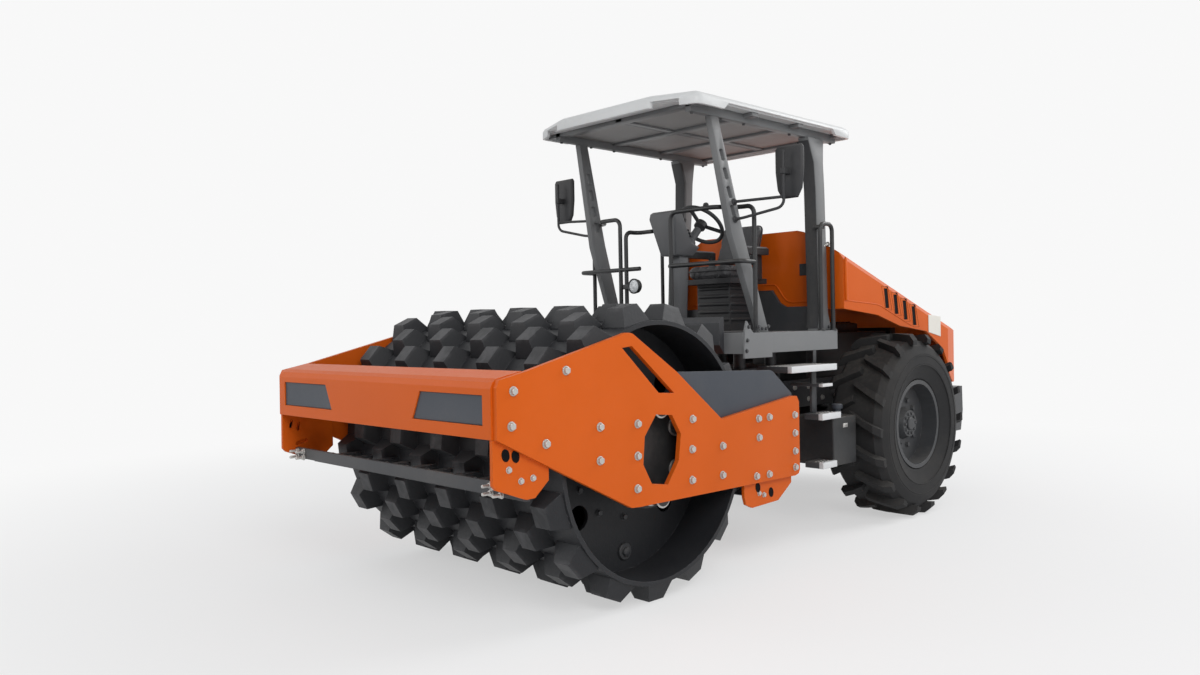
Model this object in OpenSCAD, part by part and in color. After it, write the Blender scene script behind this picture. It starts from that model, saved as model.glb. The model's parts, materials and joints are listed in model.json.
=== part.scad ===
// Single drum roller with a padfoot drum, an articulated centre joint, an open
// operator's platform with a fixed roof, and a tilting rear hood.
// Millimetres. +X points forward, +Y to the operator's left, +Z up.
// The origin lies on the ground, halfway between the front beam and the rear of the hood.

/* [Overall] */
// Drum's pads to the rear face of the front beam
front_clear = 165; // [120:5:220]
// Drum's pads to the rear beam
rear_clear = 125; // [90:5:160]
// Rear face of the rear beam to the vertical pin of the centre joint
pin_reach = 330; // [300:5:380]
// Vertical pin of the centre joint to the rear axle
rear_reach = 1550; // [1450:10:1700]
// Rear axle to the rear face of the hood
rear_overhang = 1500; // [1400:5:1700]

/* [Drum] */
// Width of the drum shell
drum_width = 2140; // [1900:10:2300]
// Outer radius of the smooth shell, without pads
shell_r = 735; // [700:1:760]
// Thickness of the shell
shell_wall = 25; // [15:1:40]
// Height of the pads over the shell
pad_height = 100; // [60:1:110]
// Pads in one row around the drum
pads_around = 15; // [11:1:17]
// Rows of pads across the drum
pad_rows = 10; // [6:1:11]
// Length of a pad along the rim, at its foot
pad_foot_l = 200; // [150:1:220]
// Length of a pad along the rim, at its face
pad_face_l = 120; // [80:1:140]
// Gap between two rows of pads at their feet
pad_gap = 34; // [20:1:80]
// Slope of a pad's side flank, from its foot to its face
pad_slope = 34; // [20:1:50]
// Distance of each head plate from its end of the drum
head_inset = 310; // [240:5:360]
// Radius of the stub shaft that carries the drum
stub_r = 60; // [40:1:80]

/* [Drum frame] */
// Gap between the drum and a side plate
drum_side_gap = 20; // [10:1:40]
// Thickness of a side plate
side_t = 30; // [20:1:40]
// Height of the front beam's lower edge over the drum's axis
beam_rise = 185; // [150:5:220]
// Height of the front beam
beam_h = 315; // [280:5:330]
// Depth of the front beam from front to back
beam_depth = 190; // [150:5:200]
// Height of the side plate's peak over the drum's axis
peak_rise = 665; // [600:5:720]
// Drop of the side plate's lower edge below the drum's axis
plate_drop = 275; // [250:5:300]
// Thickness of the dark cover plate behind the side plate's notch
cover_t = 12; // [8:1:20]
// Depth of the rear beam from front to back
rear_beam_depth = 260; // [200:5:280]
// Thickness of the scrapers' bars and tines
scraper_t = 20; // [12:1:30]
// Gap between a tine's tip and the drum shell
tine_gap = 25; // [15:1:40]

/* [Centre joint] */
// Height of the swinging joint's axis
joint_z = 830; // [800:5:860]
// Radius of the swinging joint's shaft
swing_r = 70; // [50:1:90]
// Radius of the vertical pin
pin_r = 50; // [35:1:60]
// Running clearance between a shaft and its bore
running_gap = 0.1; // [0.05:0.01:0.1]
// Radius of a steering cylinder's barrel
barrel_r = 38; // [30:1:42]
// Radius of a steering cylinder's rod
rod_r = 20; // [15:1:24]

/* [Rear frame] */
// Distance of each rear rail's outer face from the centre
rail_y = 300; // [280:5:340]
// Thickness of a rail or cross plate
rail_t = 30; // [20:1:40]
// Height of a rail
rail_h = 220; // [180:5:240]
// Rear axle to the front of the engine
engine_reach = 420; // [360:5:480]
// Length of a side box from front to back
box_l = 175; // [140:5:200]

/* [Wheels] */
// Radius of a tyre over its lugs
tyre_r = 720; // [680:1:740]
// Height of a tyre's lugs
lug_h = 58; // [40:1:70]
// Outer face of the tyres from the centre
tyre_out = 1070; // [1040:5:1110]
// Width of a tyre
tyre_w = 480; // [420:5:500]
// Radius of the rim's flanges
rim_r = 350; // [320:1:380]
// Lugs on each side of a tyre
lugs_around = 18; // [14:1:22]

/* [Platform] */
// How far the platform reaches forward of the vertical pin
floor_reach = 420; // [360:5:425]
// Height of the platform's floor over the cross deck
floor_rise = 280; // [240:5:320]
// Width of the platform
floor_w = 1600; // [1500:10:1640]
// Depth of the band around the platform
band_h = 140; // [100:5:160]
// Thickness of the floor and its bands
floor_t = 25; // [15:1:40]
// Distance of a post's foot from the platform's side
foot_inset = 100; // [80:5:140]

/* [Canopy] */
// Height of the roof's top over the floor
roof_rise = 1560; // [1500:10:1700]
// Length of the roof
roof_l = 1842; // [1700:5:1900]
// Width of the roof
roof_w = 1532; // [1450:5:1600]
// Depth of the roof's edge
roof_h = 90; // [70:5:110]
// Distance of a post's top from the roof's side
post_inset = 66; // [50:2:100]
// Thickness of a front post across the machine
post_t = 70; // [50:5:90]
// Thickness of a rear post across the machine
rear_post_t = 90; // [60:5:100]

/* [Hood] */
// Width of the hood at its sides
hood_w = 1700; // [1600:10:1720]
// Rear axle to the hood's front edge
hood_reach = 795; // [760:5:830]
// Height of the hood's ridge at its front edge over the tyres
hood_rise = 815; // [760:5:860]
// Thickness of the hood's walls
hood_t = 22; // [12:1:30]

/* [Hidden] */
$fn = 64;

orange = [0.93, 0.38, 0.08];
post_grey = [0.46, 0.48, 0.50];
dark_grey = [0.22, 0.23, 0.25];
blue_grey = [0.27, 0.31, 0.36];
black = [0.07, 0.07, 0.08];
tyre_black = [0.13, 0.13, 0.14];
roof_white = [0.92, 0.93, 0.94];
tread_grey = [0.80, 0.82, 0.84];
steel = [0.62, 0.63, 0.65];

pad_r = shell_r + pad_height;
front_overhang = pad_r + front_clear + beam_depth;
rear_beam_front = -pad_r - rear_clear;
rear_beam_back = rear_beam_front - rear_beam_depth;
pivot_reach = pin_reach - rear_beam_back;
front_x = (front_overhang + pivot_reach + rear_reach + rear_overhang) / 2;
rear_x = -front_x;
drum_x = front_x - front_overhang;
drum_z = pad_r;
pivot_x = drum_x - pivot_reach;
axle_x = pivot_x - rear_reach;

plate_in = drum_width / 2 + drum_side_gap;
rail_in = rail_y - rail_t;
rail_low = tyre_r + 140;
rail_top = rail_low + rail_h;
deck_z = rail_top + 120;
floor_z = deck_z + floor_rise;
floor_y = floor_w / 2;
// Clearance that keeps two surfaces just apart
seat_gap = 0.3;

// A box between two opposite corners
module box(low, high) {
    translate(low) cube(high - low);
}

// A flat sheet in the XZ plane, from y to y + t
module side_sheet(points, y, t) {
    translate([0, y + t, 0]) rotate([90, 0, 0]) linear_extrude(t) polygon(points);
}

// A flat sheet in the YZ plane, from x to x + t
module front_sheet(points, x, t) {
    translate([x, 0, 0]) rotate([90, 0, 90]) linear_extrude(t) polygon(points);
}

// A round bar from point p to point q
module bar(p, q, r) {
    d = q - p;
    len = norm(d);
    translate(p) rotate([0, acos(d[2] / len), atan2(d[1], d[0])]) cylinder(h = len, r = r);
}

// A bent tube through a list of points, with round elbows
module tube_run(points, r) {
    for (i = [0 : len(points) - 2]) bar(points[i], points[i + 1], r);
    for (i = [1 : len(points) - 2]) translate(points[i]) sphere(r = r * 1.002);
}

// The same piece on both sides of the machine
module both_sides() {
    children();
    mirror([0, 1, 0]) children();
}

// Mirrors a left-hand piece to the right when side is -1
module on_side(side) {
    if (side > 0) children();
    else mirror([0, 1, 0]) children();
}

// Drum: shell, two head plates set back from its ends, stub shafts and staggered rows of pads
head_y = drum_width / 2 - head_inset;
head_t = 25;
head_bore_gap = 10;
head_holes = 4;
head_hole_x = shell_r * 0.68;
head_hole_r = 70;
stub_l = 130;
pad_root = 12;
pad_pitch = drum_width / pad_rows;
pad_foot_w = pad_pitch - pad_gap;
pad_face_w = pad_foot_w - 2 * pad_slope;

// One pad, lying along X, with four sloping flanks and a flat face
module pad() {
    foot_x = shell_r - pad_root;
    module flank(foot, face, wide) {
        linear_extrude(wide) polygon([[foot_x, -foot / 2], [shell_r, -foot / 2], [pad_r, -face / 2],
            [pad_r, face / 2], [shell_r, foot / 2], [foot_x, foot / 2]]);
    }
    intersection() {
        translate([0, 0, -pad_foot_w]) flank(pad_foot_l, pad_face_l, 2 * pad_foot_w);
        rotate([90, 0, 0]) translate([0, 0, -pad_foot_l]) flank(pad_foot_w, pad_face_w, 2 * pad_foot_l);
    }
}

module pad_row(y, turn) {
    translate([drum_x, y, drum_z]) rotate([90, 0, 0])
        for (i = [0 : pads_around - 1]) rotate(turn + 360 * i / pads_around) pad();
}

module drum_shell() {
    half = drum_width / 2;
    inner = shell_r - shell_wall;
    color(dark_grey) {
        translate([drum_x, 0, drum_z]) rotate([90, 0, 0]) {
            rotate_extrude($fn = 96) polygon([[inner, -half], [shell_r, -half], [shell_r, half],
                [inner, half]]);
            for (s = [-1, 1]) {
                translate([0, 0, s * head_y - head_t / 2]) difference() {
                    cylinder(h = head_t, r = inner + 2);
                    for (i = [0 : head_holes - 1]) rotate(360 * (i + 0.5) / head_holes)
                        translate([head_hole_x, 0, -1]) cylinder(h = head_t + 2, r = head_hole_r);
                }
                translate([0, 0, s > 0 ? head_y : -head_y - stub_l]) cylinder(h = stub_l, r = stub_r);
            }
        }
        for (i = [0 : pad_rows - 1])
            pad_row((i + 0.5 - pad_rows / 2) * pad_pitch, 90 + (i % 2) * 180 / pads_around);
    }
}

// Drum mounts: bearing housing, flange and buffers between the head plate and the side plate
housing_r = 190;
housing_start = head_y + head_t / 2 + head_bore_gap;
flange_r = 320;
flange_t = 25;
buffer_l = 100;
flange_y = plate_in - buffer_l - flange_t;
buffer_r = 50;
buffer_pcd = 500;

module drum_mount(side) {
    on_side(side) color(black) translate([drum_x, 0, drum_z]) rotate([-90, 0, 0]) difference() {
        union() {
            translate([0, 0, housing_start]) cylinder(h = flange_y - housing_start, r = housing_r);
            translate([0, 0, flange_y]) cylinder(h = flange_t, r = flange_r);
            for (i = [0 : 5]) rotate(60 * i + 30) translate([buffer_pcd / 2, 0, flange_y])
                cylinder(h = plate_in - flange_y, r = buffer_r);
        }
        translate([0, 0, housing_start - 1]) cylinder(h = stub_l + 20, r = stub_r + running_gap);
    }
}

// Side plate, drawn from the drum's axis, with the scrapers' slotted tabs on its inner face
plate_rear = rear_beam_back - 70;
tab_t = 18;
notch = [-489, 147];
hole_points = [[85, 220], [-48, 206], [-119, 95], [-98, -53], [-4, -176], [127, -155], [193, -42],
    [178, 108]];
slot_points = [[341, 591], [265, 599], [-68, 328], [60, 336]];

module from_drum() {
    translate([drum_x, 0, drum_z]) children();
}

module tab_slot(x, z, len, turn) {
    translate([x, plate_in + 1, z]) rotate([90, turn, 0]) {
        for (s = [-1, 1]) translate([s * len / 2, 0, 0]) cylinder(h = tab_t + 2, r = 11);
        translate([-len / 2, -11, 0]) cube([len, 22, tab_t + 2]);
    }
}

module side_plate(side) {
    fo = front_overhang;
    low = -plate_drop;
    top = beam_rise + beam_h;
    outline = [[fo - 10, beam_rise], [fo - 12, top - 70], [fo - 30, top - 35], [fo - 200, top],
        [340, peak_rise - 3], [318, peak_rise + 4], [288, peak_rise + 6], [258, peak_rise],
        [-94, 444], notch, [plate_rear + 60, 236], [plate_rear + 24, 232], [plate_rear, 195],
        [plate_rear, low + 30], [plate_rear + 14, low + 5], [plate_rear + 50, low - 5], [225, low + 9],
        [287, low + 13]];
    front_tab = [[fo - 4, beam_rise - 1], [fo - 2, -30], [fo - 22, -53], [988, -121], [932, -120],
        [842, -44], [842, beam_rise - 1]];
    rear_tab = [[plate_rear + 60, low + 30], [plate_rear + 60, low - 50], [plate_rear + 207, low - 146],
        [-808, low - 155], [-747, low - 128], [-730, low - 80], [-730, low + 30]];
    color(orange) on_side(side) from_drum() difference() {
        union() {
            side_sheet(outline, plate_in, side_t);
            side_sheet(front_tab, plate_in - tab_t, tab_t + 2);
            side_sheet(rear_tab, plate_in - tab_t, tab_t + 2);
        }
        side_sheet(hole_points, plate_in - 1, side_t + 2);
        side_sheet(slot_points, plate_in - 1, side_t + 2);
        tab_slot(fo - 62, 122, 34, 80);
        tab_slot(fo - 110, 102, 34, 80);
        tab_slot(fo - 130, 0, 60, 15);
        tab_slot(-900, low - 90, 60, -15);
    }
}

// Dark cover that closes the notch, fixed to the inner face of the side plate
module side_covers() {
    color(blue_grey) both_sides() from_drum() side_sheet([[-69, 444], [notch[0] + 19, notch[1] - 24],
        [plate_rear + 28, 203], [plate_rear + 43, 253], [plate_rear + 240, 400], [plate_rear + 270, 411]],
        plate_in - cover_t, cover_t);
}

// Front beam between the side plates, with two shallow panels sunk into its front face
panel_in = 0.39;
panel_out = 0.94;
panel_depth = 14;

module front_beam() {
    fo = front_overhang;
    top = beam_rise + beam_h;
    color(orange) from_drum() difference() {
        side_sheet([[fo - beam_depth, beam_rise], [fo, beam_rise], [fo, top - 75], [fo - 12, top - 45],
            [fo - 40, top - 28], [fo - beam_depth, top]], -plate_in, 2 * plate_in);
        both_sides() front_sheet([[panel_in * plate_in, beam_rise + 63],
            [panel_out * plate_in, beam_rise + 63], [panel_out * plate_in, beam_rise + 208],
            [panel_in * plate_in + 70, beam_rise + 208]], fo - panel_depth, panel_depth + 1);
    }
}

// Rear beam with the housing of the swinging joint
rear_beam_drop = 210;
rear_beam_top = drum_z + 165;
housing_l = 60;
swing_flange_r = 160;
swing_depth = 230;
housing_face = drum_x + rear_beam_back - housing_l;

module rear_beam() {
    color(orange) difference() {
        union() {
            translate([drum_x, 0, 0]) box([rear_beam_back, -plate_in, joint_z - rear_beam_drop],
                [rear_beam_front, plate_in, rear_beam_top]);
            translate([housing_face, 0, joint_z]) rotate([0, 90, 0])
                cylinder(h = housing_l + 1, r = swing_flange_r);
        }
        translate([housing_face - 1, 0, joint_z]) rotate([0, 90, 0])
            cylinder(h = swing_depth + 1, r = swing_r + running_gap);
    }
}

// Scrapers: a bar with one tine in each gap between the rows of pads, on end plates
end_y = plate_in - tab_t;
bar_start = pad_r + 95;
bar_l = 170;
tine_tip = 8;
tine_root = 30;

// Lies along X from the drum's axis, its upper face at the height of the axis
module tines(root_x) {
    tip_x = shell_r + tine_gap;
    for (i = [1 : pad_rows - 1]) translate([0, (i - pad_rows / 2) * pad_pitch, -scraper_t])
        linear_extrude(scraper_t) polygon([[tip_x, -tine_tip], [pad_r, -tine_root], [root_x, -tine_root],
            [root_x, tine_root], [pad_r, tine_root], [tip_x, tine_tip]]);
}

module scraper_front() {
    color(dark_grey) from_drum() translate([0, 0, -75]) {
        box([bar_start, -end_y, -scraper_t], [bar_start + bar_l, end_y, 0]);
        box([bar_start + bar_l - scraper_t, -end_y, -1], [bar_start + bar_l, end_y, 45]);
        box([bar_start + 20, -end_y, -60], [bar_start + 45, end_y, -scraper_t + 1]);
        tines(bar_start + 2);
    }
}

module scraper_rear() {
    color(dark_grey) from_drum() rotate([0, 160, 0]) {
        tines(bar_start + 32);
        box([bar_start + 30, -end_y, -scraper_t], [bar_start + 160, end_y, 0]);
        box([bar_start + 90, -end_y, -1], [bar_start + 115, end_y, 45]);
    }
}

// Centre joint: yoke on the swinging shaft, with the vertical pin's hub and the steering arms
hub_r = 110;
hub_low = joint_z - 130;
hub_high = joint_z + 130;
swing_flange_t = 40;
flange_gap = 6;
arm_t = 20;
arm_gap = 62;
arm_eye = [120, 200];
barrel_eye = [-600, 260];
eye_r = 38;
fork_r = 55;

module arm_plate(z) {
    translate([pivot_x, 0, z]) linear_extrude(arm_t) union() {
        polygon([[0, -hub_r + 5], [arm_eye[0] + 30, -arm_eye[1]], [arm_eye[0] - 60, -arm_eye[1] - 20],
            [-60, 0], [arm_eye[0] - 60, arm_eye[1] + 20], [arm_eye[0] + 30, arm_eye[1]], [0, hub_r - 5]]);
        for (s = [-1, 1]) translate([arm_eye[0], s * arm_eye[1]]) circle(r = fork_r);
    }
}

module yoke() {
    flange_x = housing_face - flange_gap - swing_flange_t;
    color(dark_grey) difference() {
        union() {
            translate([flange_x, 0, joint_z]) rotate([0, 90, 0])
                cylinder(h = swing_flange_t, r = swing_flange_r);
            translate([flange_x, 0, joint_z]) rotate([0, 90, 0])
                cylinder(h = swing_flange_t + swing_depth - 20, r = swing_r);
            translate([pivot_x, 0, hub_low]) cylinder(h = hub_high - hub_low, r = hub_r);
            box([pivot_x, -hub_r, hub_low], [flange_x + 1, hub_r, hub_high]);
            arm_plate(joint_z - arm_gap / 2 - arm_t);
            arm_plate(joint_z + arm_gap / 2);
        }
        translate([pivot_x, 0, hub_low - 1]) cylinder(h = hub_high - hub_low + 2, r = pin_r + running_gap);
    }
}

// Steering cylinders, one on each side of the centre joint
cyl_dx = arm_eye[0] - barrel_eye[0];
cyl_dy = arm_eye[1] - barrel_eye[1];
cyl_l = norm([cyl_dx, cyl_dy]);
cyl_turn = atan2(cyl_dy, cyl_dx);
cyl_h = 56;
barrel_l = 420;
gland_l = 30;
eye_neck = 74;
neck_r = 24;
eye_bore = 22;

module cylinder_place(side) {
    on_side(side) translate([pivot_x + barrel_eye[0], barrel_eye[1], joint_z]) rotate(cyl_turn) children();
}

module steer_barrel(side) {
    color(black) cylinder_place(side) difference() {
        union() {
            translate([0, 0, -cyl_h / 2]) cylinder(h = cyl_h, r = eye_r);
            translate([20, 0, 0]) rotate([0, 90, 0]) cylinder(h = barrel_l - 20 - gland_l, r = neck_r);
            translate([eye_neck, 0, 0]) rotate([0, 90, 0])
                cylinder(h = barrel_l - eye_neck - gland_l, r = barrel_r);
            translate([barrel_l - gland_l - 1, 0, 0]) rotate([0, 90, 0])
                cylinder(h = gland_l + 1, r = barrel_r + 4);
        }
        translate([0, 0, -cyl_h]) cylinder(h = 2 * cyl_h, r = eye_bore + running_gap);
        translate([eye_neck + 16, 0, 0]) rotate([0, 90, 0]) cylinder(h = barrel_l, r = rod_r + running_gap);
    }
}

module steer_rod(side) {
    rod_start = eye_r + 190;
    color(steel) cylinder_place(side) {
        translate([rod_start, 0, 0]) rotate([0, 90, 0]) cylinder(h = cyl_l - rod_start, r = rod_r);
        translate([cyl_l, 0, -cyl_h / 2]) cylinder(h = cyl_h, r = eye_r);
    }
}

// Rear chassis: clevis for the vertical pin, neck, rails, cross plates and cylinder brackets
lug_t = 50;
lug_gap = 2;
lug_reach = 110;
neck_y = 110;
neck_front = pivot_x - 200;
neck_rear = pivot_x - 680;
neck_low = joint_z - 270;
engine_front = axle_x + engine_reach;
deck_rear = engine_front + 50;
deck_t = 40;
chassis_rear = rear_x + 330;
saddle_z = rail_low - 20;
box_rear = axle_x + tyre_r + 55;
box_front = box_rear + box_l;
box_in = 560;
box_out = floor_y + 120;
box_low = tyre_r - 200;
box_high = tyre_r + 130;

module lug(z) {
    translate([0, 0, z]) linear_extrude(lug_t) union() {
        translate([pivot_x, 0]) circle(r = lug_reach);
        translate([neck_front - 20, -lug_reach]) square([pivot_x - neck_front + 20, 2 * lug_reach]);
    }
}

module cylinder_bracket(z) {
    bx = pivot_x + barrel_eye[0];
    translate([0, 0, z]) linear_extrude(arm_t) both_sides() union() {
        translate([bx, barrel_eye[1]]) circle(r = fork_r);
        polygon([[bx - 80, neck_y - 5], [bx + 60, neck_y - 5], [bx + 50, barrel_eye[1]],
            [bx - 50, barrel_eye[1]]]);
    }
}

module rear_chassis() {
    bx = pivot_x + barrel_eye[0];
    bracket_x = box_rear + 60;
    color(dark_grey) {
        lug(hub_high + lug_gap);
        lug(hub_low - lug_gap - lug_t);
        translate([pivot_x, 0, hub_low - lug_gap - lug_t - 10])
            cylinder(h = hub_high - hub_low + 2 * (lug_t + lug_gap) + 20, r = pin_r);
        box([neck_front - rail_t, -neck_y, neck_low], [neck_front, neck_y, deck_z]);
        both_sides() box([neck_rear - 10, neck_y - rail_t, neck_low], [neck_front - 10, neck_y, deck_z]);
        box([neck_rear - rail_t, -rail_y, neck_low], [neck_rear, rail_y, deck_z]);
        box([deck_rear, -rail_y, deck_z - deck_t], [neck_front - 10, rail_y, deck_z]);
        both_sides() box([chassis_rear, rail_in, rail_low], [neck_rear - 10, rail_y, rail_top]);
        box([chassis_rear, -rail_y, rail_low], [chassis_rear + rail_t, rail_y, rail_top]);
        cylinder_bracket(joint_z - arm_gap / 2 - arm_t);
        cylinder_bracket(joint_z + arm_gap / 2);
        both_sides() translate([bx, barrel_eye[1], joint_z - arm_gap / 2 - 5])
            cylinder(h = arm_gap + 10, r = eye_bore);
        both_sides() for (x = [floor_rear + 70, neck_front - 70]) translate([x, 240, deck_z - 5])
            cylinder(h = floor_rise - floor_t + 5, r = 45);
        both_sides() box([bracket_x, neck_y - 5, joint_z - 180], [bracket_x + 30, box_in, joint_z - 90]);
        both_sides() box([bracket_x, rail_y - 4, joint_z - 180],
            [bracket_x + 30, rail_y + 30, rail_low + 10]);
        both_sides() box([axle_x - 90, rail_in, saddle_z], [axle_x + 90, rail_y, rail_low + 10]);
    }
}

// Rear axle: housing with a flange and a stub shaft for each wheel
wheel_mid = tyre_out - tyre_w / 2;
axle_tube_r = 105;
axle_end = wheel_mid - 270;
wheel_hub_in = axle_end + 12;
axle_stub_r = 70;
axle_stub_l = 250;

module rear_axle() {
    color(black) {
        translate([axle_x, 0, tyre_r]) rotate([90, 0, 0]) {
            translate([0, 0, -axle_end]) cylinder(h = 2 * axle_end, r = axle_tube_r);
            translate([0, 0, -axle_end - axle_stub_l])
                cylinder(h = 2 * (axle_end + axle_stub_l), r = axle_stub_r);
            sphere(r = 170);
        }
        both_sides() box([axle_x - 80, rail_in, tyre_r + 50], [axle_x + 80, rail_y, saddle_z]);
    }
}

// Wheels
carcass_r = tyre_r - lug_h;
rim_half = tyre_w / 2 - 50;
bead_y = rim_half - 28;
bead_r = rim_r - 32;
rim_wall = 12;
disc_y = wheel_mid + 60;
disc_t = 20;

module rim(side) {
    in_edge = wheel_mid - rim_half;
    out_edge = wheel_mid + rim_half;
    color(dark_grey) on_side(side) translate([axle_x, 0, tyre_r]) rotate([-90, 0, 0]) difference() {
        union() {
            rotate_extrude() polygon([[bead_r, in_edge], [rim_r, in_edge], [rim_r, in_edge + 12],
                [bead_r + rim_wall, in_edge + 24], [bead_r + rim_wall, out_edge - 24],
                [rim_r, out_edge - 12], [rim_r, out_edge], [bead_r, out_edge]]);
            translate([0, 0, disc_y - disc_t]) cylinder(h = disc_t, r = bead_r + 2);
            translate([0, 0, wheel_hub_in]) cylinder(h = disc_y - wheel_hub_in, r = 150);
            translate([0, 0, disc_y - 1]) cylinder(h = 60, r1 = 130, r2 = 105);
        }
        translate([0, 0, wheel_hub_in - 1]) cylinder(h = axle_stub_l - 5, r = axle_stub_r + running_gap);
    }
}

module lug_pair(s) {
    h = lug_h + 40;
    translate([0, 0, carcass_r - 30]) {
        linear_extrude(h) polygon([[-24, s * -8], [24, s * -8], [24 + 62, s * 100], [-24 + 62, s * 100]]);
        linear_extrude(h) polygon([[-24 + 60, s * 98], [26 + 60, s * 98], [30 + 128, s * tyre_w / 2],
            [-30 + 128, s * tyre_w / 2]]);
    }
}

module tyre(side) {
    half = tyre_w / 2;
    bead = bead_r + rim_wall + seat_gap;
    shoulder = carcass_r - 42;
    color(tyre_black) on_side(side) translate([axle_x, wheel_mid, tyre_r]) {
        rotate([-90, 0, 0]) rotate_extrude() polygon([[bead, -bead_y], [rim_r + 2, -bead_y - 12],
            [rim_r + 12, -bead_y - 30], [shoulder - 140, -half + 2], [shoulder - 60, -half + 4],
            [shoulder, -half + 25], [carcass_r, -half + 70], [carcass_r, half - 70],
            [shoulder, half - 25], [shoulder - 60, half - 4], [shoulder - 140, half - 2],
            [rim_r + 12, bead_y + 30], [rim_r + 2, bead_y + 12], [bead, bead_y]]);
        intersection() {
            for (i = [0 : lugs_around - 1], s = [-1, 1])
                rotate([0, 360 * (i + (s > 0 ? 0 : 0.5)) / lugs_around, 0]) lug_pair(s);
            rotate([-90, 0, 0]) rotate_extrude() polygon([[carcass_r - 60, -half + 30],
                [shoulder - 20, -half + 30], [shoulder, -half], [tyre_r - 40, -half], [tyre_r, -half + 45],
                [tyre_r, half - 45], [tyre_r - 40, half], [shoulder, half], [shoulder - 20, half - 30],
                [carcass_r - 60, half - 30]]);
        }
    }
}

// Hood: outline heights hang on the tyres, lengths on the rear overhang
hood_base = 2 * tyre_r + 60;
hood_ridge = 2 * tyre_r + hood_rise;
hood_rear_low = hood_base - 515;
hood_front_x = axle_x + hood_reach;
hood_y = hood_w / 2;
hood_slope = 18;
hood_drop = 230;
ridge_y = 450;
slot_pitch = 150;
vent_y = hood_y - 470;
vent_low = hood_base - 420;
vent_h = 220;

// Hinge of the hood, behind its rear edge
hinge_x = rear_x + 26;
hinge_y = hood_y - 350;
hinge_z = hood_rear_low - 25;
hinge_pin_r = 9;
ear_t = 18;
ear_gap = 3;
ear_r = 17;

module ear(y) {
    translate([0, y + ear_t, 0]) rotate([90, 0, 0]) linear_extrude(ear_t) union() {
        translate([hinge_x, hinge_z]) circle(r = ear_r);
        children();
    }
}

module hood_body(t) {
    x1 = hood_front_x - t;
    x0 = rear_x + t;
    y1 = hood_y - t;
    low = t > 0 ? -50 : 0;
    along = rear_overhang;
    intersection() {
        side_sheet([[x1, hood_base + 140 + low], [x1, hood_ridge - t],
            [axle_x - 0.533 * along, hood_ridge - t - 520], [axle_x - 0.767 * along, hood_ridge - t - 700],
            [axle_x - 0.933 * along, hood_base - 80 - t], [x0, hood_base - 320], [x0, hood_rear_low + low],
            [axle_x - 0.747 * along, hood_rear_low + low], [axle_x - 0.633 * along, hood_base - 430 + low],
            [axle_x - 0.533 * along, hood_base - 200 + low], [axle_x - 0.333 * along, hood_base - 50 + low],
            [axle_x - 0.033 * along, hood_base + low], [axle_x + 0.377 * hood_reach, hood_base + 90 + low]],
            -hood_y, 2 * hood_y);
        linear_extrude(2 * hood_ridge) polygon([[x1, -y1], [x1, y1], [axle_x - 0.6 * along, y1],
            [axle_x - 0.8 * along, y1 - 90], [x0, y1 - 330], [x0, -y1 + 330],
            [axle_x - 0.8 * along, -y1 + 90], [axle_x - 0.6 * along, -y1]]);
        translate([hood_front_x, 0, hood_ridge - t]) rotate([0, -hood_slope, 0]) rotate([90, 0, -90])
            translate([0, 0, -600]) linear_extrude(2 * hood_ridge) polygon([[-y1, -hood_ridge],
                [-y1, -hood_drop], [-y1 + 40, -hood_drop + 50], [-ridge_y - 60, -14], [-ridge_y, 0],
                [ridge_y, 0], [ridge_y + 60, -14], [y1 - 40, -hood_drop + 50], [y1, -hood_drop],
                [y1, -hood_ridge]]);
    }
}

module hood_shell() {
    color(orange) difference() {
        union() {
            difference() {
                hood_body(0);
                hood_body(hood_t);
            }
            both_sides() ear(hinge_y) translate([hinge_x - ear_r, hinge_z]) square([2 * ear_r + 30, 92]);
        }
        both_sides() translate([hinge_x, hinge_y - 1, hinge_z]) rotate([-90, 0, 0])
            cylinder(h = ear_t + 2, r = hinge_pin_r + running_gap);
        box([rear_x - 1, -vent_y, vent_low], [rear_x + 60, vent_y, vent_low + vent_h]);
        both_sides() for (i = [0 : 3])
            translate([axle_x + 160 - slot_pitch * i, 0, hood_base + 222 - 47 * i]) side_sheet([[-42, -78],
                [18, -78], [42, 78], [-18, 78]], hood_y - hood_t - 2, hood_t + 4);
    }
}

module hood_grille() {
    bars = 6;
    pitch = (vent_h - 20) / bars;
    color(black) translate([rear_x + 4, 0, vent_low]) difference() {
        box([0, -vent_y, 0], [14, vent_y, vent_h]);
        for (i = [0 : bars - 1]) box([-1, -vent_y + 30, 15 + pitch * i],
            [15, vent_y - 30, 15 + pitch * (i + 0.5)]);
    }
}

// Engine as one block
module engine_block() {
    color(black) box([chassis_rear + 290, -rail_in, rail_top - 180],
        [engine_front, rail_in, rail_top + 370]);
}

// Counterweight under the hood's rear edge, with the ears and pins of the hood's hinge and a towing
// pocket with a bore for a pin that goes in from below
weight_y = hood_y - 150;
weight_low = tyre_r - 200;
tow_z = tyre_r + 20;
tow_w = 170;
tow_h = 90;
tow_depth = 140;
tow_x = 75;
tow_r = 17;

module rear_counterweight() {
    top = hinge_z - 34;
    color(dark_grey) difference() {
        union() {
            side_sheet([[chassis_rear, weight_low], [chassis_rear, top], [rear_x + 10, top],
                [rear_x, weight_low + 180], [rear_x + 45, weight_low]], -weight_y, 2 * weight_y);
            both_sides() for (y = [hinge_y - ear_gap - ear_t, hinge_y + ear_t + ear_gap])
                ear(y) translate([hinge_x - ear_r, top - 1]) square([2 * ear_r, hinge_z - top + 1]);
            both_sides() translate([hinge_x, hinge_y - ear_gap - 1, hinge_z]) rotate([-90, 0, 0])
                cylinder(h = ear_t + 2 * ear_gap + 2, r = hinge_pin_r);
        }
        box([rear_x - 1, -tow_w / 2, tow_z - tow_h / 2], [rear_x + tow_depth, tow_w / 2, tow_z + tow_h / 2]);
        translate([rear_x + tow_x, 0, 0]) cylinder(h = tow_z + tow_h, r = tow_r);
    }
}

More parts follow.
